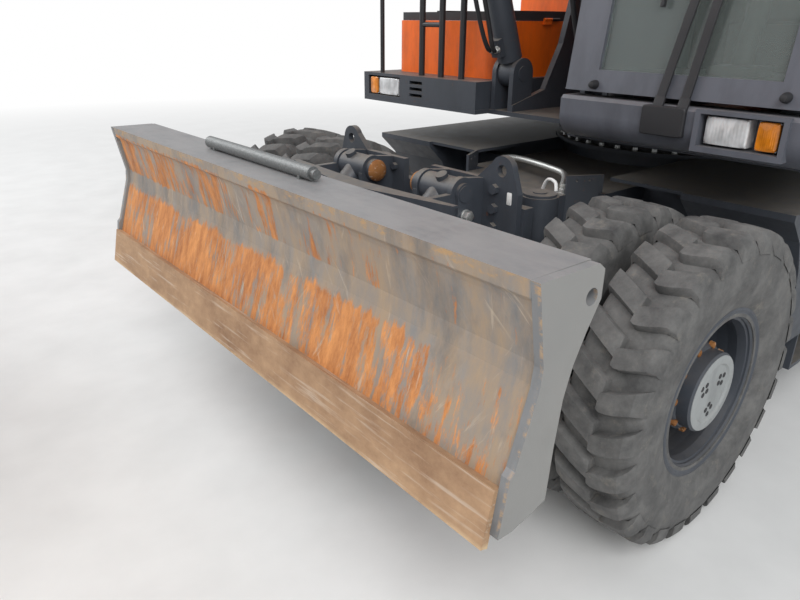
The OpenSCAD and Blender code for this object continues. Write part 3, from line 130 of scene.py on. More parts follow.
SKY_STRENGTH, SKY_TINT = 0.62, (0.95, 0.975, 1.0)
LAMP_SIZE, LEFT_WATTS, RIGHT_WATTS = 6.0, 620, 330
world_light(SKY_STRENGTH, SKY_TINT)
area_lamp("soft_left", (5.0, 6.5, 7.5), (0.3, 0.3, 0.8), LAMP_SIZE, LEFT_WATTS)
area_lamp("soft_right", (3.5, -6.5, 6.5), (0.3, 0.0, 0.8), LAMP_SIZE, RIGHT_WATTS)
bpy.context.scene.view_settings.view_transform = "Standard"
print("sky", SKY_STRENGTH, "lamps", LEFT_WATTS, RIGHT_WATTS, "watts")

# %% [markdown]
# ## Finishes
# A finish is a small tree of nodes that reads Object coordinates, so it stays on its piece when a joint
# moves. The Bench class keeps each tree short: it makes a node, links what is linked and sets the rest.

# %% A bench for finishes
class Bench:
    """Builds one material's nodes. Most methods return the socket that carries their result."""

    def __init__(self, name, color, rough=0.5, metal=0.0, **sockets):
        """Start with a plain colour, roughness and metal, and any other of the shader's sockets by name."""
        self.mat = bpy.data.materials.new(name)
        self.mat.use_nodes = True
        self.nt = self.mat.node_tree
        self.shader = self.nt.nodes["Principled BSDF"]
        self.put("Base Color", (*color, 1))
        self.put("Roughness", rough)
        self.put("Metallic", metal)
        for key, value in sockets.items():
            self.put(key.replace("_", " "), value)
        self.place = self.nt.nodes.new("ShaderNodeTexCoord")

    def feed(self, target, value):
        """Link a socket's output to the target, or write a plain value into it."""
        if hasattr(value, "is_output"):
            self.nt.links.new(value, target)
        else:
            target.default_value = value

    def put(self, socket, value):
        """Feed one of the shader's own sockets."""
        self.feed(self.shader.inputs[socket], value)

    def node(self, kind, inputs=(), **props):
        """Make a node, set its properties and feed its inputs."""
        n = self.nt.nodes.new(kind)
        for key, value in props.items():
            setattr(n, key, value)
        for key, value in dict(inputs).items():
            self.feed(n.inputs[key], value)
        return n

    def coords(self, stretch=(1, 1, 1), shift=(0, 0, 0), lean=0.0):
        """Object coordinates times stretch. With a lean they are turned round X first, so streaks slant."""
        if lean:
            n = self.node("ShaderNodeMapping", {"Scale": [1 / k for k in stretch], "Location": shift,
                "Rotation": (lean, 0, 0)}, vector_type="TEXTURE")
        else:
            n = self.node("ShaderNodeMapping", {"Scale": stretch, "Location": shift})
        self.nt.links.new(self.place.outputs["Object"], n.inputs["Vector"])
        return n.outputs[0]

    def noise(self, scale, detail=4.0, rough=0.55, stretch=(1, 1, 1), shift=(0, 0, 0), lean=0.0):
        """Soft fractal noise, scale grains to the metre."""
        return self.node("ShaderNodeTexNoise", {"Vector": self.coords(stretch, shift, lean), "Scale": scale,
            "Detail": detail, "Roughness": rough}).outputs["Fac"]

    def cells(self, scale):
        """Distance to the nearest of scattered points, scale of them to the metre."""
        return self.node("ShaderNodeTexVoronoi", {"Vector": self.coords(), "Scale": scale}).outputs["Distance"]

    def band(self, value, low, high, out_low=0.0, out_high=1.0):
        """Stretch low..high of a value to out_low..out_high, held at both ends."""
        return self.node("ShaderNodeMapRange", {"Value": value, "From Min": low, "From Max": high,
            "To Min": out_low, "To Max": out_high}, clamp=True).outputs[0]

    def math(self, op, a, b=0.0, held=True):
        """One sum on two numbers, held between 0 and 1 unless told otherwise."""
        return self.node("ShaderNodeMath", {0: a, 1: b}, operation=op, use_clamp=held).outputs[0]

    def times(self, first, *others):
        """The product of two or more numbers, held between 0 and 1 at each step."""
        for other in others:
            first = self.math("MULTIPLY", first, other)
        return first

    def tint(self, share, a, b):
        """Mix two colours, each a tuple or a socket."""
        a, b = ((*value, 1) if isinstance(value, tuple) else value for value in (a, b))
        return self.node("ShaderNodeMix", {0: share, 6: a, 7: b}, data_type="RGBA").outputs[2]

    def axis(self, which, source="Object"):
        """One coordinate of the place, or of the facing where source is Normal."""
        n = self.node("ShaderNodeSeparateXYZ")
        self.nt.links.new(self.place.outputs[source], n.inputs[0])
        return n.outputs["XYZ".index(which)]

    def bump(self, height, strength, distance):
        """Bump the shader's facing by a height from 0 to 1, distance metres deep."""
        self.put("Normal", self.node("ShaderNodeBump", {"Height": height, "Strength": strength,
            "Distance": distance}).outputs[0])

CHIP_RUST = (0.17, 0.065, 0.025)

def worn_paint(name, color, rough, dust=0.5, dust_color=(0.20, 0.17, 0.13), chips=0.0, coat=0.0):
    """Sprayed paint: broad fading, fine orange peel, dust that lies on tops, and a few rusty chips."""
    b = Bench(name, color, rough)
    fade = b.noise(1.7, 3.0)
    body = b.tint(b.band(fade, 0.3, 0.7, 0.0, 0.28), color, tuple(min(1.0, c * 1.5 + 0.012) for c in color))
    grime = b.band(b.noise(9.0, 6.0, 0.65, (1, 1, 0.35)), 0.46, 0.72, 0.0, 0.5)
    body = b.tint(grime, body, tuple(c * 0.45 + 0.01 for c in color))
    top = b.band(b.axis("Z", "Normal"), 0.35, 0.95)
    speck = b.band(b.noise(22.0, 8.0, 0.7), 0.3, 0.75, 0.25, 1.0)
    body = b.tint(b.times(top, speck, dust), body, dust_color)
    if chips:
        spots = b.times(b.band(b.noise(38.0, 7.0, 0.75), 0.62, 0.67), b.band(b.noise(4.0), 0.48, 0.6))
        body = b.tint(b.times(spots, chips), body, CHIP_RUST)
    b.put("Base Color", body)
    b.put("Roughness", b.band(speck, 0.2, 1.0, rough * 0.85, min(1.0, rough * 1.35)))
    if coat:
        b.put("Coat Weight", coat)
    b.bump(b.noise(160.0, 3.0), 0.10, 0.002)
    return b.mat

SLATE = (0.048, 0.055, 0.068)
finishes = {
    "slate_paint": worn_paint("slate_paint", SLATE, 0.44, 0.80, (0.26, 0.225, 0.18), 0.8),
    "dark_paint": worn_paint("dark_paint", (0.030, 0.032, 0.036), 0.40, 0.45),
    "orange_paint": worn_paint("orange_paint", (1.0, 0.150, 0.004), 0.42, 0.10, (0.45, 0.17, 0.05), 0.0, 0.12),
    "cab_paint": worn_paint("cab_paint", (0.098, 0.104, 0.124), 0.36, 0.45, (0.24, 0.22, 0.20)),
    "rim_paint": worn_paint("rim_paint", (0.050, 0.057, 0.070), 0.45, 0.3, (0.17, 0.145, 0.12), 0.3),
    "black_tube": worn_paint("black_tube", (0.018, 0.019, 0.022), 0.40, 0.2),
    "cast": worn_paint("cast", (0.030, 0.031, 0.034), 0.62, 0.5, (0.16, 0.14, 0.11), 0.8),
}
print("paints", len(finishes))

# %% [markdown]
# ## The blade's paint
# Work has scoured the blade: the paint hangs on at the crease and on the ends, and earth has dragged
# rusty streaks down the rest of the face. Streaks are noise squeezed along the width and stretched down
# the height, and heights on the plate say where they gather. Edges that look up carry pale grey scuffs.

# %% Blade finishes
LINE_Z, HOLLOW_Z, CREASE_Z, BROW_Z = 0.66, 0.86, 0.95, 1.11     # heights on the blade's face
PLATE_LINE_Z, RIM_Z = (0.622, 0.650), (1.122, 1.141)            # line over the cutting plate, upper rim
FACE_END_Y, END_EDGE_Y = (1.222, 1.214), (1.236, 1.241)         # from full face to end plate, its outer edge
RUST_BASE, RUST_GAIN = 0.335, 0.23
DARK_RUST, LIGHT_RUST = (0.36, 0.115, 0.025), (0.76, 0.32, 0.095)

def between(b, value, low, high, soft=0.02):
    """1 where low < value < high, falling to 0 over soft at both ends."""
    return b.times(b.band(value, low - soft, low), b.band(value, high + soft, high))

def scoured_blade():
    """Slate paint under upright rust. A point is rusty where grain < base + gain x gather: grain is fine
    streaks plus broad patches, and gather says how hard that height and width of the face has worked."""
    b = Bench("scoured_blade", (0.15, 0.165, 0.18), 0.5)
    x_way, z_way = b.axis("X", "Normal"), b.axis("Z", "Normal")
    y, z = b.axis("Y"), b.axis("Z")
    wide = b.math("ABSOLUTE", y, 0.0, False)
    ahead = b.band(x_way, 0.25, 0.6)
    front = b.times(ahead, b.band(wide, *FACE_END_Y))
    # paint: slate with darker rain marks
    veil = b.times(b.band(b.noise(9.0, 8.0, 0.75, (0.4, 1.0, 0.35)), 0.36, 0.62, 0.15, 1.0), front)
    paint = b.tint(b.band(b.noise(2.4, 5.0, 0.6), 0.35, 0.65), (0.185, 0.195, 0.205), (0.255, 0.26, 0.26))
    paint = b.tint(veil, paint, (0.37, 0.275, 0.185))
    rain = b.band(b.noise(6.0, 7.0, 0.68, (0.5, 1.0, 0.45), (3, 0, 1)), 0.50, 0.70, 0.0, 0.7)
    paint = b.tint(rain, paint, (0.105, 0.108, 0.112))
    # where rust gathers: strong below the hollow, milder between the crease and the brow
    low = b.times(between(b, z, LINE_Z, HOLLOW_Z, 0.06), b.band(y, 1.22, 0.70, 0.55, 1.0))
    high = b.times(between(b, z, CREASE_Z, BROW_Z), b.band(y, 1.1, -0.2, 0.40, 0.80))
    gather = b.math("MAXIMUM", b.math("MAXIMUM", low, high), 0.16)
    streaks = b.noise(34.0, 9.0, 0.78, (0.3, 1.0, 0.13))
    patches = b.noise(5.0, 8.0, 0.72, (0.3, 1.0, 0.6), (0, 0.6, 0))
    grain = b.math("ADD", b.times(streaks, 0.6), b.times(patches, 0.4))
    level = b.math("ADD", b.times(gather, RUST_GAIN), RUST_BASE)
    cover = b.times(b.band(b.math("SUBTRACT", level, grain), 0.0, 0.05), front)
    rust = b.tint(b.band(b.noise(20.0, 8.0, 0.75, (0.6, 1, 0.3)), 0.34, 0.66), DARK_RUST, LIGHT_RUST)
    body = b.tint(b.times(cover, 0.90), paint, rust)
    # pale scratches, upright and slanted
    for turn, shift, share in ((0.0, 3, 0.55), (0.75, 5, 0.40), (-0.55, 8, 0.35)):
        lines = b.noise(56.0, 5.0, 0.6, (0.5, 1.0, 0.04), (0, 0, shift), turn)
        here = b.band(b.noise(3.2, 4.0, 0.6, (1, 1, 1), (shift, 0, 0)), 0.46, 0.60)
        mark = b.times(b.band(lines, 0.62, 0.68, 0.0, share), here, front)
        body = b.tint(mark, body, (0.60, 0.50, 0.38))
    # pale line over the cutting plate, chipped yellow primer on the rim, tan front edges of the end plates
    chip = b.band(b.noise(30.0, 8.0, 0.75, (1, 0.6, 1)), 0.50, 0.60)
    line = b.times(between(b, z, *PLATE_LINE_Z, 0.008), front, 0.65)
    body = b.tint(line, body, (0.27, 0.26, 0.24))
    rim = b.times(between(b, z, *RIM_Z, 0.006), ahead, chip, 0.75)
    body = b.tint(rim, body, (0.50, 0.30, 0.12))
    edge = b.times(b.band(wide, *END_EDGE_Y), ahead, chip, 0.7)
    body = b.tint(edge, body, (0.50, 0.33, 0.18))
    side = b.times(b.band(b.math("ABSOLUTE", b.axis("Y", "Normal"), 0.0, False), 0.5, 0.9), 0.75)
    body = b.tint(side, body, (0.27, 0.265, 0.25))
    # scuffed pale tops
    scuff = b.band(b.noise(7.0, 8.0, 0.7, (2.0, 0.7, 1)), 0.36, 0.60, 0.30, 0.85)
    body = b.tint(b.times(b.band(z_way, 0.5, 0.9), scuff), body, (0.30, 0.295, 0.295))
    b.put("Base Color", body)
    b.put("Roughness", b.band(cover, 0.0, 1.0, 0.46, 0.80))
    b.bump(streaks, 0.18, 0.003)
    return b.mat

WEAR_TOP, WEAR_FULL = 0.022, 0.006      # heights over a plate's lower edge where its wear ends and is full

def rusty_steel(name, dark, light, metal, low_edge=0.0):
    """Bare steel under rust: mottled brown, rubbed lines along the width, and a pale worn edge at a height."""
    b = Bench(name, dark, 0.65, metal)
    body = b.tint(b.band(b.noise(8.0, 8.0, 0.7, (1, 0.6, 1)), 0.3, 0.7), dark, light)
    if low_edge:
        worn = b.times(b.band(b.axis("Z"), low_edge + WEAR_TOP, low_edge + WEAR_FULL),
            b.band(b.noise(12.0, 6.0, 0.7, (1, 0.4, 1)), 0.36, 0.56), 0.8)
        body = b.tint(worn, body, (0.70, 0.53, 0.33))
    line = b.band(b.noise(26.0, 5.0, 0.6, (3.0, 0.12, 3.0)), 0.56, 0.68, 0.0, 0.5)
    b.put("Base Color", b.tint(line, body, (0.62, 0.52, 0.42)))
    b.put("Roughness", b.band(line, 0.0, 0.5, 0.78, 0.45))
    b.bump(b.noise(90.0, 6.0), 0.25, 0.002)
    return b.mat

def zinc(name, color, rough):
    """Dull zinc: a grey metal with a faint spangle."""
    b = Bench(name, color, rough, 0.85)
    b.put("Base Color", b.tint(b.band(b.cells(120.0), 0.0, 0.7, 0.0, 0.6), color, tuple(c * 0.6 for c in color)))
    b.bump(b.noise(200.0), 0.08, 0.001)
    return b.mat

def rod_chrome():
    """Hard chrome on a piston rod, with an oily haze."""
    b = Bench("rod_chrome", (0.72, 0.73, 0.75), 0.16, 1.0)
    b.put("Roughness", b.band(b.noise(24.0, 4.0, 0.6, (1, 1, 4)), 0.3, 0.7, 0.10, 0.30))
    b.bump(b.noise(240.0), 0.03, 0.001)
    return b.mat

def moulded_plastic(name, color, rough):
    """Grained black plastic."""
    b = Bench(name, color, rough)
    b.put("Base Color", b.tint(b.band(b.noise(5.0), 0.3, 0.7, 0.0, 0.5), color, tuple(c * 1.8 + 0.01 for c in color)))
    b.bump(b.cells(700.0), 0.15, 0.0006)
    return b.mat

def tinted_glass():
    """Cab glass: a thin greenish pane that lets light through."""
    b = Bench("tinted_glass", (0.72, 0.80, 0.77), 0.04, 0.0, Transmission_Weight=0.92, IOR=1.45)
    b.put("Roughness", b.band(b.noise(12.0, 5.0), 0.4, 0.8, 0.02, 0.06))
    return b.mat

def ribs_along(b, way, pitch):
    """Ribs across one axis: sin(2 pi place / pitch)."""
    return b.math("SINE", b.math("MULTIPLY", b.axis(way), 2 * math.pi / pitch, False), 0.0, False)

WEAVE_PITCH = 2 * math.pi / 2600.0      # 2.4 mm

def seat_cloth():
    """Woven seat cover: two crossed sets of fine ribs over a dark melange."""
    b = Bench("seat_cloth", (0.030, 0.031, 0.034), 0.85, 0.0, Sheen_Weight=0.25, Sheen_Roughness=0.5)
    weave = b.math("MULTIPLY", *(ribs_along(b, way, WEAVE_PITCH) for way in "YZ"), False)
    melange = b.band(b.noise(260.0, 3.0), 0.35, 0.65)
    b.put("Base Color", b.tint(melange, (0.022, 0.023, 0.026), (0.060, 0.062, 0.066)))
    b.bump(b.band(weave, -1.0, 1.0), 0.4, 0.0008)
    return b.mat

def lamp_glass(name, color, pitch):
    """A lamp's ribbed lens over its bright reflector: upright ribs by a sine, glossy under a clear coat."""
    b = Bench(name, color, 0.16, 0.25, Coat_Weight=1.0, Coat_Roughness=0.03)
    b.put("Base Color", b.tint(b.band(b.noise(30.0, 3.0, 0.5, (1, 1, 0.6)), 0.35, 0.65),
        tuple(c * 0.62 for c in color), color))
    b.bump(b.band(ribs_along(b, "Y", pitch), -1.0, 1.0), 0.35, 0.0015)
    return b.mat

BLADE_FOOT_Z = 0.518                    # lower edge of the cutting plate
CLEAR_RIBS, AMBER_RIBS = 0.011, 0.006   # pitch of the lenses' ribs
finishes.update({
    "lamp_lens": lamp_glass("lamp_lens", (0.82, 0.83, 0.84), CLEAR_RIBS),
    "amber_lens": lamp_glass("amber_lens", (0.95, 0.30, 0.015), AMBER_RIBS),
    "blade_paint": scoured_blade(),
    "bare_steel": rusty_steel("bare_steel", (0.26, 0.15, 0.085), (0.52, 0.34, 0.20), 0.10, BLADE_FOOT_Z),
    "galvanised": zinc("galvanised", (0.30, 0.31, 0.31), 0.55),
    "bolt_zinc": zinc("bolt_zinc", (0.74, 0.75, 0.73), 0.42),
    "chrome": rod_chrome(),
    "black_plastic": moulded_plastic("black_plastic", (0.014, 0.014, 0.016), 0.55),
    "glass": tinted_glass(),
    "seat_cloth": seat_cloth(),
    "white_plate": moulded_plastic("white_plate", (0.62, 0.62, 0.61), 0.45),
    "hub_grey": worn_paint("hub_grey", (0.30, 0.315, 0.315), 0.55, 0.3, (0.3, 0.27, 0.22), 0.2),
    "rusty_stud": rusty_steel("rusty_stud", (0.20, 0.075, 0.020), (0.45, 0.20, 0.06), 0.2),
})
print("finishes", len(finishes))

# %% [markdown]
# ## Rubber
# Tread rubber is nearly black, but road dust greys it in broad patches, with some dried mud on top.
# Pointiness isn't kept by an export, so both the dust and the mud come from noise.

# %% Tyre rubber
def tyre_rubber():
    """Dark rubber under pale dust in patches and a few spots of mud."""
    b = Bench("tyre_rubber", (0.022, 0.022, 0.023), 0.82)
    grey = b.band(b.noise(9.0, 8.0, 0.72), 0.32, 0.66, 0.10, 1.0)
    body = b.tint(grey, (0.045, 0.045, 0.046), (0.165, 0.163, 0.158))
    mud = b.band(b.noise(16.0, 8.0, 0.75, (1, 1, 1), (4, 2, 0)), 0.56, 0.72, 0.0, 0.55)
    b.put("Base Color", b.tint(mud, body, (0.24, 0.22, 0.185)))
    b.put("Roughness", b.band(grey, 0.1, 0.85, 0.70, 0.95))
    b.bump(b.noise(130.0, 6.0, 0.7), 0.30, 0.0015)
    return b.mat

finishes["tyre"] = tyre_rubber()

# %% [markdown]
# ## Finish the frame's own pieces
# Each exact node already names a material slot in its record, so one pass gives every node its finish.

# %% Assign finishes to the exact nodes
def assign(obj, mat):
    """Give an object one finish in place of what it had."""
    obj.data.materials.clear()
    obj.data.materials.append(mat)

slot_of = {row["node"]: row["material_slot"] for row in frame["record"]["subparts"]}
for node, slot in slot_of.items():
    assign(frame["nodes"][node], finishes[slot])
print("finished nodes", len(slot_of))

# %% [markdown]
# ## Pieces from whole arrays
# A piece is a grid of points worked out in one numpy expression. The next helper turns such a grid into a
# mesh: each square of neighbours makes one face, and a side that closes on itself is joined.

# %% Grid to mesh
def grid_faces(rows, cols, wrap_rows=False, wrap_cols=False, flip=False):
    """Index quads over a rows x cols grid, joining the last row or column to the first where asked."""
    i = np.arange(rows if wrap_rows else rows - 1)[:, None]
    j = np.arange(cols if wrap_cols else cols - 1)[None, :]
    a, b = i * cols + j, i * cols + (j + 1) % cols
    c, d = ((i + 1) % rows) * cols + (j + 1) % cols, ((i + 1) % rows) * cols + j
    quads = np.stack([a, b, c, d], axis=-1).reshape(-1, 4)
    return quads[:, ::-1] if flip else quads

SHARP = math.radians(35)        # a steeper fold between faces stays a crisp edge

def make_piece(name, points, quads, mat, body):
    """Link a mesh of quads, seat its finish and let it ride a body."""
    mesh = bpy.data.meshes.new(name)
    points = np.asarray(points, dtype=np.float64).reshape(-1, 3)
    assert np.isfinite(points).all(), name
    mesh.from_pydata(points.tolist(), [], np.asarray(quads).tolist())
    mesh.update()
    mesh.polygons.foreach_set("use_smooth", np.ones(len(mesh.polygons), dtype=bool))
    mesh.set_sharp_from_angle(angle=SHARP)
    obj = bpy.data.objects.new(name, mesh)
    bpy.context.scene.collection.objects.link(obj)
    obj.data.materials.append(mat)
    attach(obj, body)
    return obj

def revolve(profile, steps, centre, side=1):
    """Turn (radius, across) pairs round Y: x = r cos a, z = r sin a, y = side * across, from centre."""
    profile = np.asarray(profile, float)
    a = np.linspace(0, 2 * np.pi, steps, endpoint=False)[:, None]
    r, w = profile[None, :, 0], profile[None, :, 1]
    pts = np.stack([r * np.cos(a), side * w * np.ones_like(a), r * np.sin(a)], axis=-1)
    return (pts + np.asarray(centre)).reshape(-1, 3)

def joined(parts):
    """Stack (points, quads) pairs into one pair, moving each quad's indices past the points before it."""
    points, quads, start = [], [], 0
    for p, q in parts:
        points.append(np.asarray(p).reshape(-1, 3))
        quads.append(np.asarray(q) + start)
        start += len(points[-1])
    return np.concatenate(points), np.concatenate(quads)

# %% [markdown]
# ## Tyres
# The tread is a directional block pattern. Each pitch has a long outer bar, whose end hooks round the
# shoulder, and a slanted inner block. A lug is a small box-like grid: one direction runs along the bar, the
# other across it, and the rows at the rim step down to the carcass to make drafted walls.

# %% Tyre lugs
TYRE_R, LUG, HALF_W = 0.530, 0.030, 0.125
TREAD_HALF, BASE_HALF, SHOULDER_IN = 0.105, 0.094, 0.098
LUG_OUT, PITCHES, TYRE_STEPS = 0.1215, 26, 104

def carcass(centre, side):
    """The casing under the lugs: bead, bulging side wall with a scuff rib, and a rounded tread base."""
    base = TYRE_R - LUG
    half = [(0.2543, 0.0997), (0.282, 0.0997), (0.290, 0.104), (0.300, 0.108), (0.330, 0.117), (0.360, 0.1225),
        (0.366, 0.1245), (0.374, 0.1245), (0.380, 0.1235), (0.410, HALF_W - 0.001), (0.440, HALF_W - 0.002),
        (0.462, 0.120), (0.480, 0.111), (base - 0.006, BASE_HALF), (base - 0.001, 0.060), (base, 0.0)]
    profile = [(r, -w) for r, w in half[:-1]] + [half[-1]] + [(r, w) for r, w in half[-2::-1]]
    faces = grid_faces(TYRE_STEPS, len(profile), True, True, flip=side < 0)
    return revolve(profile, TYRE_STEPS, centre, side), faces

def lug_grids(centre, side):
    """All lugs of one tyre as one array: (pitch, lug kind, along, across, xyz). On a lug s runs along its
    bar and t across it: a point is at u across the tread, at the turn a = (arc + t wide) / R, and at
    the radius r of the rounded crown, or of the casing's foot outside 0..1 and -1..1."""
    along = np.array([-0.07, 0.0, 0.02, 0.12, 0.3, 0.5, 0.7, 0.85, 0.95, 1.0, 1.05])
    across = np.array([-1.16, -1.0, -0.93, -0.4, 0.4, 0.93, 1.0, 1.16])
    s, t = np.meshgrid(along, across, indexing="ij")
    top = ((s >= 0.0) & (s <= 1.0) & (np.abs(t) <= 1.0)).astype(float)
    flat = ((s >= 0.02) & (s <= 0.95) & (np.abs(t) <= 0.93)).astype(float)
    sc = np.clip(s, -0.03, 1.02)
    # outer bar: from near the middle to the shoulder, rising a little, with a rounded tip and a hooked end
    bar_u = 0.008 + (LUG_OUT - 0.008) * sc
    bar_arc = 0.004 + 0.040 * np.maximum(sc, 0.0) ** 1.2 - 0.006 * np.sin(np.pi * sc)
    bar_wide = 0.0305 + 0.003 * sc + np.where(t < 0, 0.010 * np.clip((sc - 0.8) / 0.2, 0, 1), 0)
    bar_tip = np.sqrt(np.clip(1 - np.clip((0.16 - sc) / 0.19, 0, 1) ** 2 * 0.75, 0, 1))
    # inner block: from the inner shoulder down to the middle, with straight sides
    block_u = -LUG_OUT + (0.016 + LUG_OUT) * sc
    block_arc, block_wide = 0.104 - 0.072 * sc, 0.0325
    kinds = []
    for u, arc, wide, tip in ((bar_u, bar_arc, bar_wide, bar_tip), (block_u, block_arc, block_wide, 1.0)):
        shoulder = np.clip((np.abs(u) - SHOULDER_IN) / (HALF_W - SHOULDER_IN), 0, 1)
        crown = TYRE_R - 0.004 * (u / TREAD_HALF) ** 2 - 0.034 * shoulder ** 1.6
        foot = np.where(np.abs(u) < BASE_HALF, TYRE_R - LUG - 0.006, 0.505 - 0.050 * shoulder)
        r = np.where(top > 0, crown - (1 - flat) * 0.0035, foot)
        kinds.append(np.stack([r, (arc + t * wide * tip) / TYRE_R, u], axis=-1))
    lug = np.stack(kinds)
    turn = (np.arange(PITCHES) * 2 * np.pi / PITCHES)[:, None, None, None]
    r, a, u = lug[None, ..., 0], lug[None, ..., 1] + turn, lug[None, ..., 2]
    return np.stack([r * np.cos(a), side * u * np.ones_like(a), r * np.sin(a)], axis=-1) + np.asarray(centre)

def lug_quads(count, rows, cols, flip):
    """The same grid of quads for every lug."""
    q = grid_faces(rows, cols, flip=flip)
    return (q[None] + (np.arange(count) * rows * cols)[:, None, None]).reshape(-1, 4)

def tyre_parts(centre, side):
    """Carcass and lugs of one tyre. side is +1 where the outer shoulder faces +Y."""
    pts = lug_grids(centre, side)
    pitches, kinds, rows, cols = pts.shape[:4]
    return [carcass(centre, side), (pts.reshape(-1, 3), lug_quads(pitches * kinds, rows, cols, side < 0))]

TWIN_Y, TWIN_PITCH = 0.965, 0.320
WHEELS = {"front_left": (1.45, 1), "front_right": (1.45, -1), "rear_left": (-1.20, 1), "rear_right": (-1.20, -1)}
for wheel, (x, side) in WHEELS.items():
    parts = []
    for offset in (-0.5, 0.5):
        parts += tyre_parts((x + SHIFT_X, side * (TWIN_Y + offset * TWIN_PITCH), TYRE_R), side)
    pts, quads = joined(parts)
    tyre = make_piece("tread_" + wheel, pts, quads, finishes["tyre"], "wheel_" + wheel)
    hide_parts("tyres_" + wheel)
    print("tyres", wheel, len(quads) * 2, "triangles")

# %% [markdown]
# ## Small solids from rings
# Bolts, hoses, lenses, pads and cushions are all stacks of rings. One helper closes such a stack: quads run
# between neighbouring rings, and a strip of quads covers the first ring and the last.

# %% Rings to a closed solid
def skin(rings):
    """Close a stack rings x points x 3. Points run anticlockwise, seen from where the last ring is."""
    rows, cols = rings.shape[:2]
    i = np.arange(cols // 2 - 1)
    cap = np.stack([i, i + 1, cols - 2 - i, cols - 1 - i], axis=-1)
    quads = np.concatenate([grid_faces(rows, cols, wrap_cols=True), cap[:, ::-1], cap + (rows - 1) * cols])
    return rings.reshape(-1, 3), quads

def square_to(way):
    """Two directions u and v with u x v = way."""
    way = np.asarray(way, float) / np.linalg.norm(way)
    spare = np.array([0.0, 0.0, 1.0]) if abs(way[2]) < 0.9 else np.array([1.0, 0.0, 0.0])
    u = np.cross(spare, way)
    u /= np.linalg.norm(u)
    return u, np.cross(way, u), way

def turned(profile, at, way, steps=24):
    """Carry (radius, height, flats) rows round a way: p = at + r (cos a u + sin a v) + h way.
    Where flats is 1 the ring is a hexagon: r is divided by the cosine of the turn from a flat's middle."""
    rows = np.array([(*row, 0.0)[:3] for row in profile], float)
    a = np.arange(steps) * 2 * np.pi / steps
    hexagon = 1 / np.cos(a % (np.pi / 3) - np.pi / 6)
    r = rows[:, :1] * (1 + rows[:, 2:3] * (hexagon - 1))
    u, v, way = square_to(way)
    ring = r[..., None] * (np.cos(a)[None, :, None] * u + np.sin(a)[None, :, None] * v)
    return skin(np.asarray(at, float) + ring + rows[:, 1, None, None] * way)

# radius, height and how far a hexagon, in shares of the width across flats
HEAD = [(0.62, -0.02), (0.62, 0.10), (0.58, 0.13), (0.50, 0.14, 1), (0.50, 0.58, 1), (0.47, 0.68, 0.6), (0.36, 0.74)]

def bolt(at, way, across):
    """A washer and a hexagon head with a rounded crown, across flats wide."""
    return turned([(r * across, h * across, *flats) for r, h, *flats in HEAD], at, way, 12)

def smooth_path(points, per=8):
    """Catmull-Rom: each stretch is the cubic through its two points, with its neighbours' slopes."""
    p = np.asarray(points, float)
    p = np.concatenate([[2 * p[0] - p[1]], p, [2 * p[-1] - p[-2]]])
    t = np.linspace(0, 1, per, endpoint=False)[None, :, None]
    a, b, c, d = (p[k:len(p) - 3 + k, None] for k in range(4))
    bend = 2 * b + (c - a) * t + (2 * a - 5 * b + 4 * c - d) * t ** 2 + (3 * b - a - 3 * c + d) * t ** 3
    return np.concatenate([0.5 * bend.reshape(-1, 3), p[-2:-1]])

def hose(points, radius, steps=12):
    """A round tube along a smooth path: p = c + r (cos a u + sin a v), where u lies in the path's plane."""
    c = smooth_path(points)
    way = np.gradient(c, axis=0)
    way /= np.linalg.norm(way, axis=1, keepdims=True)
    u = np.cross(np.linalg.svd(c - c.mean(0))[2][-1], way)
    u /= np.linalg.norm(u, axis=1, keepdims=True)
    v = np.cross(way, u)
    a = (np.arange(steps) * 2 * np.pi / steps)[None, :, None]
    return skin(c[:, None] + radius * (np.cos(a) * u[:, None] + np.sin(a) * v[:, None]))

def pad(at, along, across, half, rows, power=8.0, steps=32, pull=0.0):
    """Stack rounded rectangles: p = at + (A - i) ca along + (B - i) cb across + h way, for rows of inset i and
    height h. ca and cb trace a superellipse, and pull draws each side in between its corners."""
    a = (np.arange(steps) + 0.5) * 2 * np.pi / steps
    ca, cb = (np.sign(f) * np.abs(f) ** (2 / power) for f in (np.cos(a), np.sin(a)))
    ca, cb = ca * (1 - pull * (1 - cb ** 2)), cb * (1 - pull * (1 - ca ** 2))
    rows = np.asarray(rows, float)
    along, across = (np.asarray(d, float) / np.linalg.norm(d) for d in (along, across))
    flat = (half[0] - rows[:, :1, None]) * ca[None, :, None] * along
    flat = flat + (half[1] - rows[:, :1, None]) * cb[None, :, None] * across
    return skin(np.asarray(at, float) + flat + rows[:, 1, None, None] * np.cross(along, across))

def at(x, y, z):
    """A place whose X is counted from the chassis' cross line."""
    return (x + SHIFT_X, y, z)

def add(name, parts, slot, body, finish=None):
    """Join solids into one piece, with a slot's finish, riding a body."""
    points, quads = joined(parts)
    piece = make_piece(name, points, quads, finishes[finish or slot], body)
    print(name, len(quads) * 2, "triangles")
    return piece

X, Y, Z = np.eye(3)

# %% [markdown]
# ## Slewing ring bolts and hubs
# The slewing ring shows two rows of bright zinc bolts: the lower row holds it to the chassis and stays, the
# upper row turns with the upper body. Each hub has a pale dished cover and a circle of rusty studs.

# %% Ring bolts
RING_AT, RING_BOLTS, RING_BOLT_R, RING_HEAD = -0.300, 40, 0.600, 0.024
ring_turn = (np.arange(RING_BOLTS) + 0.5) * 2 * np.pi / RING_BOLTS
for row, height, body in (("lower", 1.0002, "chassis"), ("upper", 1.0402, "upper")):
    places = [at(RING_AT + RING_BOLT_R * math.cos(a), RING_BOLT_R * math.sin(a), height) for a in ring_turn]
    add("ring_bolts_" + row, [bolt(p, Z, RING_HEAD) for p in places], "galvanised", body, "bolt_zinc")

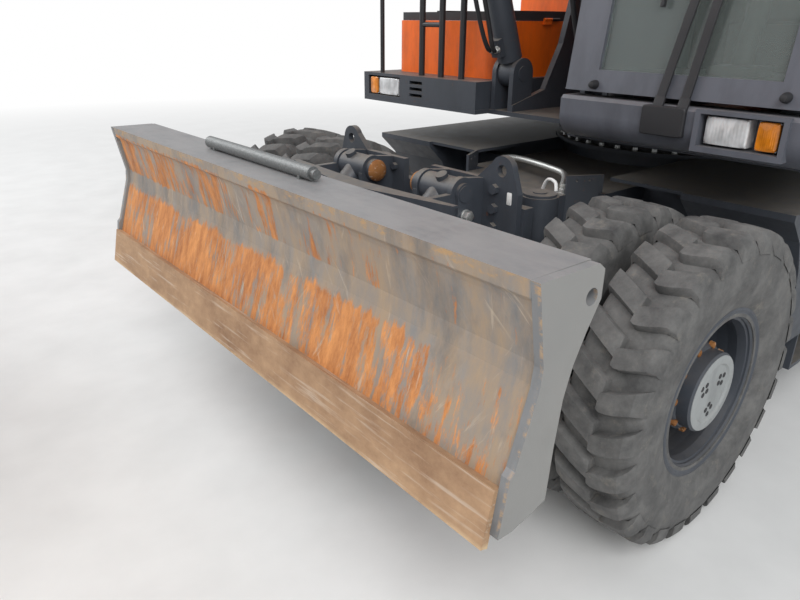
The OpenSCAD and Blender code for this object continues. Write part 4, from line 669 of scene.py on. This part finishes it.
# %% Hub covers, dimples and studs
HUB_STUDS, STUD_R, STUD_HEAD, STUD_FACE = 10, 0.1425, 0.021, 0.2005
COVER_FACE = 0.2532
COVER = [(0.1275, 0.2500), (0.1280, 0.2580), (0.1262, 0.2588), (0.1010, 0.2592), (0.0955, COVER_FACE),
    (0.040, COVER_FACE), (0.030, 0.2540)]
DIMPLE = [(0.0090, 0.0), (0.0090, 0.0012), (0.0072, 0.0018), (0.0050, 0.0004)]
DIMPLE_AT = [(0.060, -0.28), (0.060, 0.28), (0.078, 0.0), (0.042, 0.0)]     # radius, turn from a third's start

def on_hub(centre, radius, turn, face, way):
    """A place on a hub: centre + radius (cos turn x + sin turn z) + face way."""
    return centre + radius * (math.cos(turn) * X + math.sin(turn) * Z) + face * way

for wheel, (x, side) in WHEELS.items():
    body, way, slot = "wheel_" + wheel, side * Y, slot_of["rim_" + wheel]
    centre = np.array(at(x, side * TWIN_Y, TYRE_R))
    add("hub_cover_" + wheel, [turned(COVER, centre, way, 48)], slot, body, "hub_grey")
    dimples = [on_hub(centre, r, start + turn, COVER_FACE, way)
        for start in np.arange(3) * 2 * math.pi / 3 + 0.5 for r, turn in DIMPLE_AT]
    add("hub_dimples_" + wheel, [turned(DIMPLE, p, way, 12) for p in dimples], slot, body, "cast")
    studs = [on_hub(centre, STUD_R, turn, STUD_FACE, way) for turn in np.arange(HUB_STUDS) * 2 * math.pi / HUB_STUDS]
    add("hub_studs_" + wheel, [bolt(p, way, STUD_HEAD) for p in studs], slot, body, "rusty_stud")

# %% [markdown]
# ## Small parts of the blade bracket and the axle
# A zinc bolt holds each cylinder pin's keeper, the pins' inner heads are yellow-brown domes, and a small
# bare plate sits on the flange. A steel pipe and a white hose run to the axle.

# %% Bracket, pipe and hose
PIN_X, PIN_Z, EAR_IN, EAR_OUT, FLANGE_FACE = 1.726, 1.041, 0.155, 0.360, 1.625
KEEPER_DROP, KEEPER_HEAD = 0.077, 0.037
DOME = [(0.043, -0.006), (0.0435, 0.004), (0.040, 0.012), (0.031, 0.019), (0.018, 0.0235), (0.006, 0.025)]
PLATE_AT, PLATE_HALF = (FLANGE_FACE, 0.487, 1.031), (0.011, 0.022)
PLATE = [(0.0, -0.001), (0.0, 0.0008), (0.0006, 0.0012)]
PIPE_RUN = [(0.78, -0.30, 0.955), (0.849, -0.138, 0.985), (0.905, 0.10, 0.985), (0.935, 0.20, 0.975),
    (1.02, 0.262, 0.945)]
PIPE_R, PIPE_BOLT, PIPE_BOLT_HEAD = 0.014, (1.029, 0.270, 0.9205), 0.030
HOSE_RUN = [(1.30, 0.36, 0.925), (1.315, 0.385, 1.00), (1.325, 0.415, 1.045), (1.345, 0.465, 1.045),
    (1.375, 0.495, 1.020)]
HOSE_R = 0.0065

bracket, rail = slot_of["blade_bracket"], slot_of["chassis_frame"]
keepers = [bolt(at(PIN_X - 0.004, s * (EAR_OUT + 0.0125), PIN_Z - KEEPER_DROP), s * Y, KEEPER_HEAD) for s in (-1, 1)]
add("keeper_bolts", keepers, bracket, "chassis", "bolt_zinc")
domes = [turned(DOME, at(PIN_X, s * (EAR_IN - 0.0222), PIN_Z), -s * Y, 32) for s in (-1, 1)]
add("pin_domes", domes, bracket, "chassis", "rusty_stud")
add("blank_plate", [pad(at(*PLATE_AT), Y, Z, PLATE_HALF, PLATE)], bracket, "chassis", "white_plate")
pipe = [hose([at(*p) for p in PIPE_RUN], PIPE_R), bolt(at(*PIPE_BOLT), Z, PIPE_BOLT_HEAD)]
add("silver_pipe", pipe, rail, "chassis", "bolt_zinc")
add("axle_hose", [hose([at(*p) for p in HOSE_RUN], HOSE_R)], rail, "chassis", "white_plate")

# %% [markdown]
# ## Cab front
# Clear ribbed lenses stand over the lamps and an amber one over the indicator. Two wiper arms rise from a
# plain cover on the bumper, and rubber knobs guard the corners of the front panel.

# %% Lamps, wipers and knobs
LENS = [(0.0, -0.006), (0.0, 0.0022), (0.0012, 0.0040), (0.006, 0.0058), (0.018, 0.0070), (0.030, 0.0074)]
LEFT_LAMP_X, LEFT_LAMP_Z = 1.210, (1.240, 1.325)
RIGHT_LAMP_X, RIGHT_LAMP_Z = 0.9617, (1.220, 1.306)
KNOB = [(0.016, -0.004), (0.016, 0.006), (0.013, 0.012), (0.013, 0.020), (0.010, 0.026), (0.004, 0.028)]
KNOBS_YZ = ((0.487, 1.389), (1.147, 1.398))
CAB_X, CAB_FLOOR = 1.200, 1.365

def lens(name, y, z, x_face, finish, body):
    """A crowned pad over one lamp, a millimetre larger than the lamp on each side."""
    middle, half = ((y[0] + y[1]) / 2, (z[0] + z[1]) / 2), ((y[1] - y[0]) / 2 + 0.001, (z[1] - z[0]) / 2 + 0.001)
    rows = [(min(i, 0.6 * min(half)), h) for i, h in LENS]
    return add(name, [pad(at(x_face, *middle), Y, Z, half, rows, 9.0, 40)], "lamp_lens", body, finish)

lens("lens_left", (0.930, 1.065), LEFT_LAMP_Z, LEFT_LAMP_X, "lamp_lens", "upper")
lens("indicator_left", (1.092, 1.155), LEFT_LAMP_Z, LEFT_LAMP_X, "amber_lens", "upper")
lens("lens_right", (-1.085, -0.920), RIGHT_LAMP_Z, RIGHT_LAMP_X, "lamp_lens", "upper")
lens("indicator_right", (-1.165, -1.105), RIGHT_LAMP_Z, RIGHT_LAMP_X, "amber_lens", "upper")
add("front_knobs", [turned(KNOB, at(CAB_X, y, z), X, 20) for y, z in KNOBS_YZ], "black_plastic", "upper")

# %% Wipers
SCREEN_LEAN, ARM_ROOT_X = 0.1405, 1.232
WIPER_COVER = [(0.0, -0.012), (0.0, 0.012), (0.003, 0.016), (0.008, 0.0165)]

def before_screen(z, gap):
    """X in front of the leaning screen frame: x = cab front - (z - cab floor) lean + gap."""
    return CAB_X - (z - CAB_FLOOR) * SCREEN_LEAN + gap

def bar(start, end, width, thick):
    """A flat bar between two points, its width along the cab's front and its edges rounded."""
    start, end = np.asarray(start), np.asarray(end)
    way = (end - start) / np.linalg.norm(end - start)
    wide = Y - (Y @ way) * way
    long, edge = np.linalg.norm(end - start), 0.002
    rows = [(edge, 0.0), (0.0, edge), (0.0, long - edge), (edge, long)]
    return pad(start, wide, np.cross(way, wide), (width / 2, thick / 2), rows, 6.0, 24)

def near_screen(y, z, gap=0.014):
    """A place a gap in front of the screen frame."""
    return at(before_screen(z, gap), y, z)

parts = [bar(near_screen(0.757, 1.350), near_screen(0.846, 1.960), 0.030, 0.012),
    bar(near_screen(0.845, 1.350), near_screen(0.908, 1.960), 0.030, 0.012),
    bar(at(ARM_ROOT_X, 0.757, 1.300), near_screen(0.760, 1.372), 0.036, 0.014),
    bar(at(ARM_ROOT_X, 0.842, 1.300), near_screen(0.848, 1.372), 0.036, 0.014),
    bar(near_screen(0.700, 1.930), near_screen(0.915, 1.950), 0.016, 0.030),
    bar(near_screen(0.690, 1.645, 0.004), near_screen(0.715, 2.180, 0.004), 0.012, 0.022)]
parts.append(pad(at(1.222, 0.787, 1.295), Y, Z, (0.078, 0.048), WIPER_COVER, 14.0, 32))
add("wipers", parts, "black_plastic", "upper")

# %% [markdown]
# ## Boom cylinder hoses
# Two black hoses leave each boom cylinder's port block and run up its barrel to the head, a hand's width
# clear of it. They ride the barrel, so they lean with it as the boom lifts.

# %% Hoses on the boom cylinders
FOOT_X, FOOT_Z, CYL_Y = 0.800, 1.370, 0.258
BOOM_HOSE_R, HOSE_NUT = 0.0105, 0.027

def barrel_route(bow):
    """(along, off) the barrel: out of the port, up in a slack bow, and back in at the head."""
    return [(0.150, 0.070), (0.165, 0.110), (0.30, bow), (0.60, bow - 0.01), (0.95, 0.092), (1.12, 0.088),
        (1.135, 0.050)]

top_x, _, top_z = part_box("boom_barrels")[1]
run = np.array([top_x - 0.062 - (FOOT_X + SHIFT_X), 0.0, top_z - 0.020 - FOOT_Z])
run /= np.linalg.norm(run)
off = np.array([run[2], 0.0, -run[0]])
hoses, ends = [], []
for s in (-1, 1):
    for shift, bow in ((-0.016, 0.125), (0.016, 0.105)):
        start = np.array(at(FOOT_X, s * CYL_Y + shift, FOOT_Z))
        route = [start + t * run + o * off for t, o in barrel_route(bow)]
        hoses.append(hose(route, BOOM_HOSE_R))
        ends += [bolt(route[0] + 0.012 * off, off, HOSE_NUT), bolt(route[-1] + 0.008 * off, off, HOSE_NUT)]
add("boom_hoses", hoses, slot_of["boom_barrels"], "boom_barrels", "black_plastic")
add("boom_hose_ends", ends, slot_of["boom_barrels"], "boom_barrels", "bolt_zinc")

# %% [markdown]
# ## Seat
# The exact seat is one plain solid. The real one is a cushion, a back and a head rest, each a crowned pad
# with a piped seam and a sewn channel, so three padded pieces stand in for it, inside the same space.

# %% Seat cushions
SEAT_Y, SEAT_HALF = 0.7975, 0.2195
SEAM = [(0.030, 0.0), (0.010, 0.006), (0.000, 0.022), (0.000, 0.30), (0.002, 0.62), (0.005, 0.66),
    (-0.001, 0.69), (0.005, 0.72)]
CROWN = [(0.014, 0.78), (0.034, 0.875), (0.060, 0.93), (0.080, 0.945), (0.086, 0.905), (0.092, 0.945),
    (0.115, 0.975), (0.150, 0.99)]
CROWN_HALF = 0.22       # the half width that CROWN's insets were drawn for

def cushion(name, origin, along, across, half, thick):
    """Rows of insets and heights: a bulging side, a piped seam at 0.69 of the height, a crown with a channel."""
    rows = [(i, h if h < 0.03 else h * thick) for i, h in SEAM]
    rows += [(i * min(half) / CROWN_HALF, h * thick) for i, h in CROWN]
    part = pad(origin, along, across, half, rows, 5.0, 64, 0.022)
    piece = add(name, [part], "seat_cloth", "upper")
    soften = piece.modifiers.new("soft", "SUBSURF")
    soften.levels = soften.render_levels = 1
    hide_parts("seat")

cushion("seat_cushion", at(0.172, SEAT_Y, 1.598), X, Y, (0.245, SEAT_HALF), 0.136)
BACK_LEAN, POST_R = math.radians(10), 0.007
up = np.array([-math.sin(BACK_LEAN), 0, math.cos(BACK_LEAN)])
ahead = np.array([math.cos(BACK_LEAN), 0, math.sin(BACK_LEAN)])
foot = np.array(at(-0.070, SEAT_Y, 1.716))
cushion("seat_back", foot + 0.250 * up - 0.107 * ahead, Y, up, (SEAT_HALF, 0.235), 0.104)
cushion("head_rest", foot + 0.570 * up - 0.104 * ahead, Y, up, (0.135, 0.062), 0.090)
posts = [hose([foot + r * up - 0.055 * ahead + y * Y for r in (0.45, 0.49, 0.53)], POST_R) for y in (-0.06, 0.06)]
add("head_rest_posts", posts, "chrome", "upper")

# %% [markdown]
# ## Floor
# A wide pale floor carries the machine's shadow. Far away it fades into the white behind it, because a
# horizon line would cut the picture, and it does so for camera rays only, so that it lights nothing more.

# %% Floor
FLOOR_HALF, FADE_FROM, FADE_TO = 60, 4.5, 13.0
FLOOR_GREYS = (0.75, 0.75, 0.74), (0.82, 0.82, 0.81)

def pale_floor():
    """A wide plain floor that keeps the machine's shadow. For camera rays it fades to white far away:
    share of white = distance from the middle, stretched between the two fade distances."""
    b = Bench("pale_floor", (0.78, 0.78, 0.77), 0.9)
    b.put("Base Color", b.tint(b.band(b.noise(3.0, 6.0), 0.3, 0.7), *FLOOR_GREYS))
    far = b.node("ShaderNodeVectorMath", {0: b.place.outputs["Object"]}, operation="LENGTH").outputs["Value"]
    seen = b.times(b.node("ShaderNodeLightPath").outputs["Is Camera Ray"], b.band(far, FADE_FROM, FADE_TO))
    white = b.node("ShaderNodeEmission", {"Color": (1, 1, 1, 1), "Strength": 1.0})
    mix = b.node("ShaderNodeMixShader", {0: seen, 1: b.shader.outputs[0], 2: white.outputs[0]})
    b.nt.links.new(mix.outputs[0], b.nt.nodes["Material Output"].inputs[0])
    mesh = bpy.data.meshes.new("floor")
    corners = [(x * FLOOR_HALF, y * FLOOR_HALF, 0) for x, y in ((-1, -1), (1, -1), (1, 1), (-1, 1))]
    mesh.from_pydata(corners, [], [(0, 1, 2, 3)])
    floor = bpy.data.objects.new("floor", mesh)
    bpy.context.scene.collection.objects.link(floor)
    mesh.materials.append(b.mat)

pale_floor()

# %% Close the lesson
bpy.context.view_layer.update()
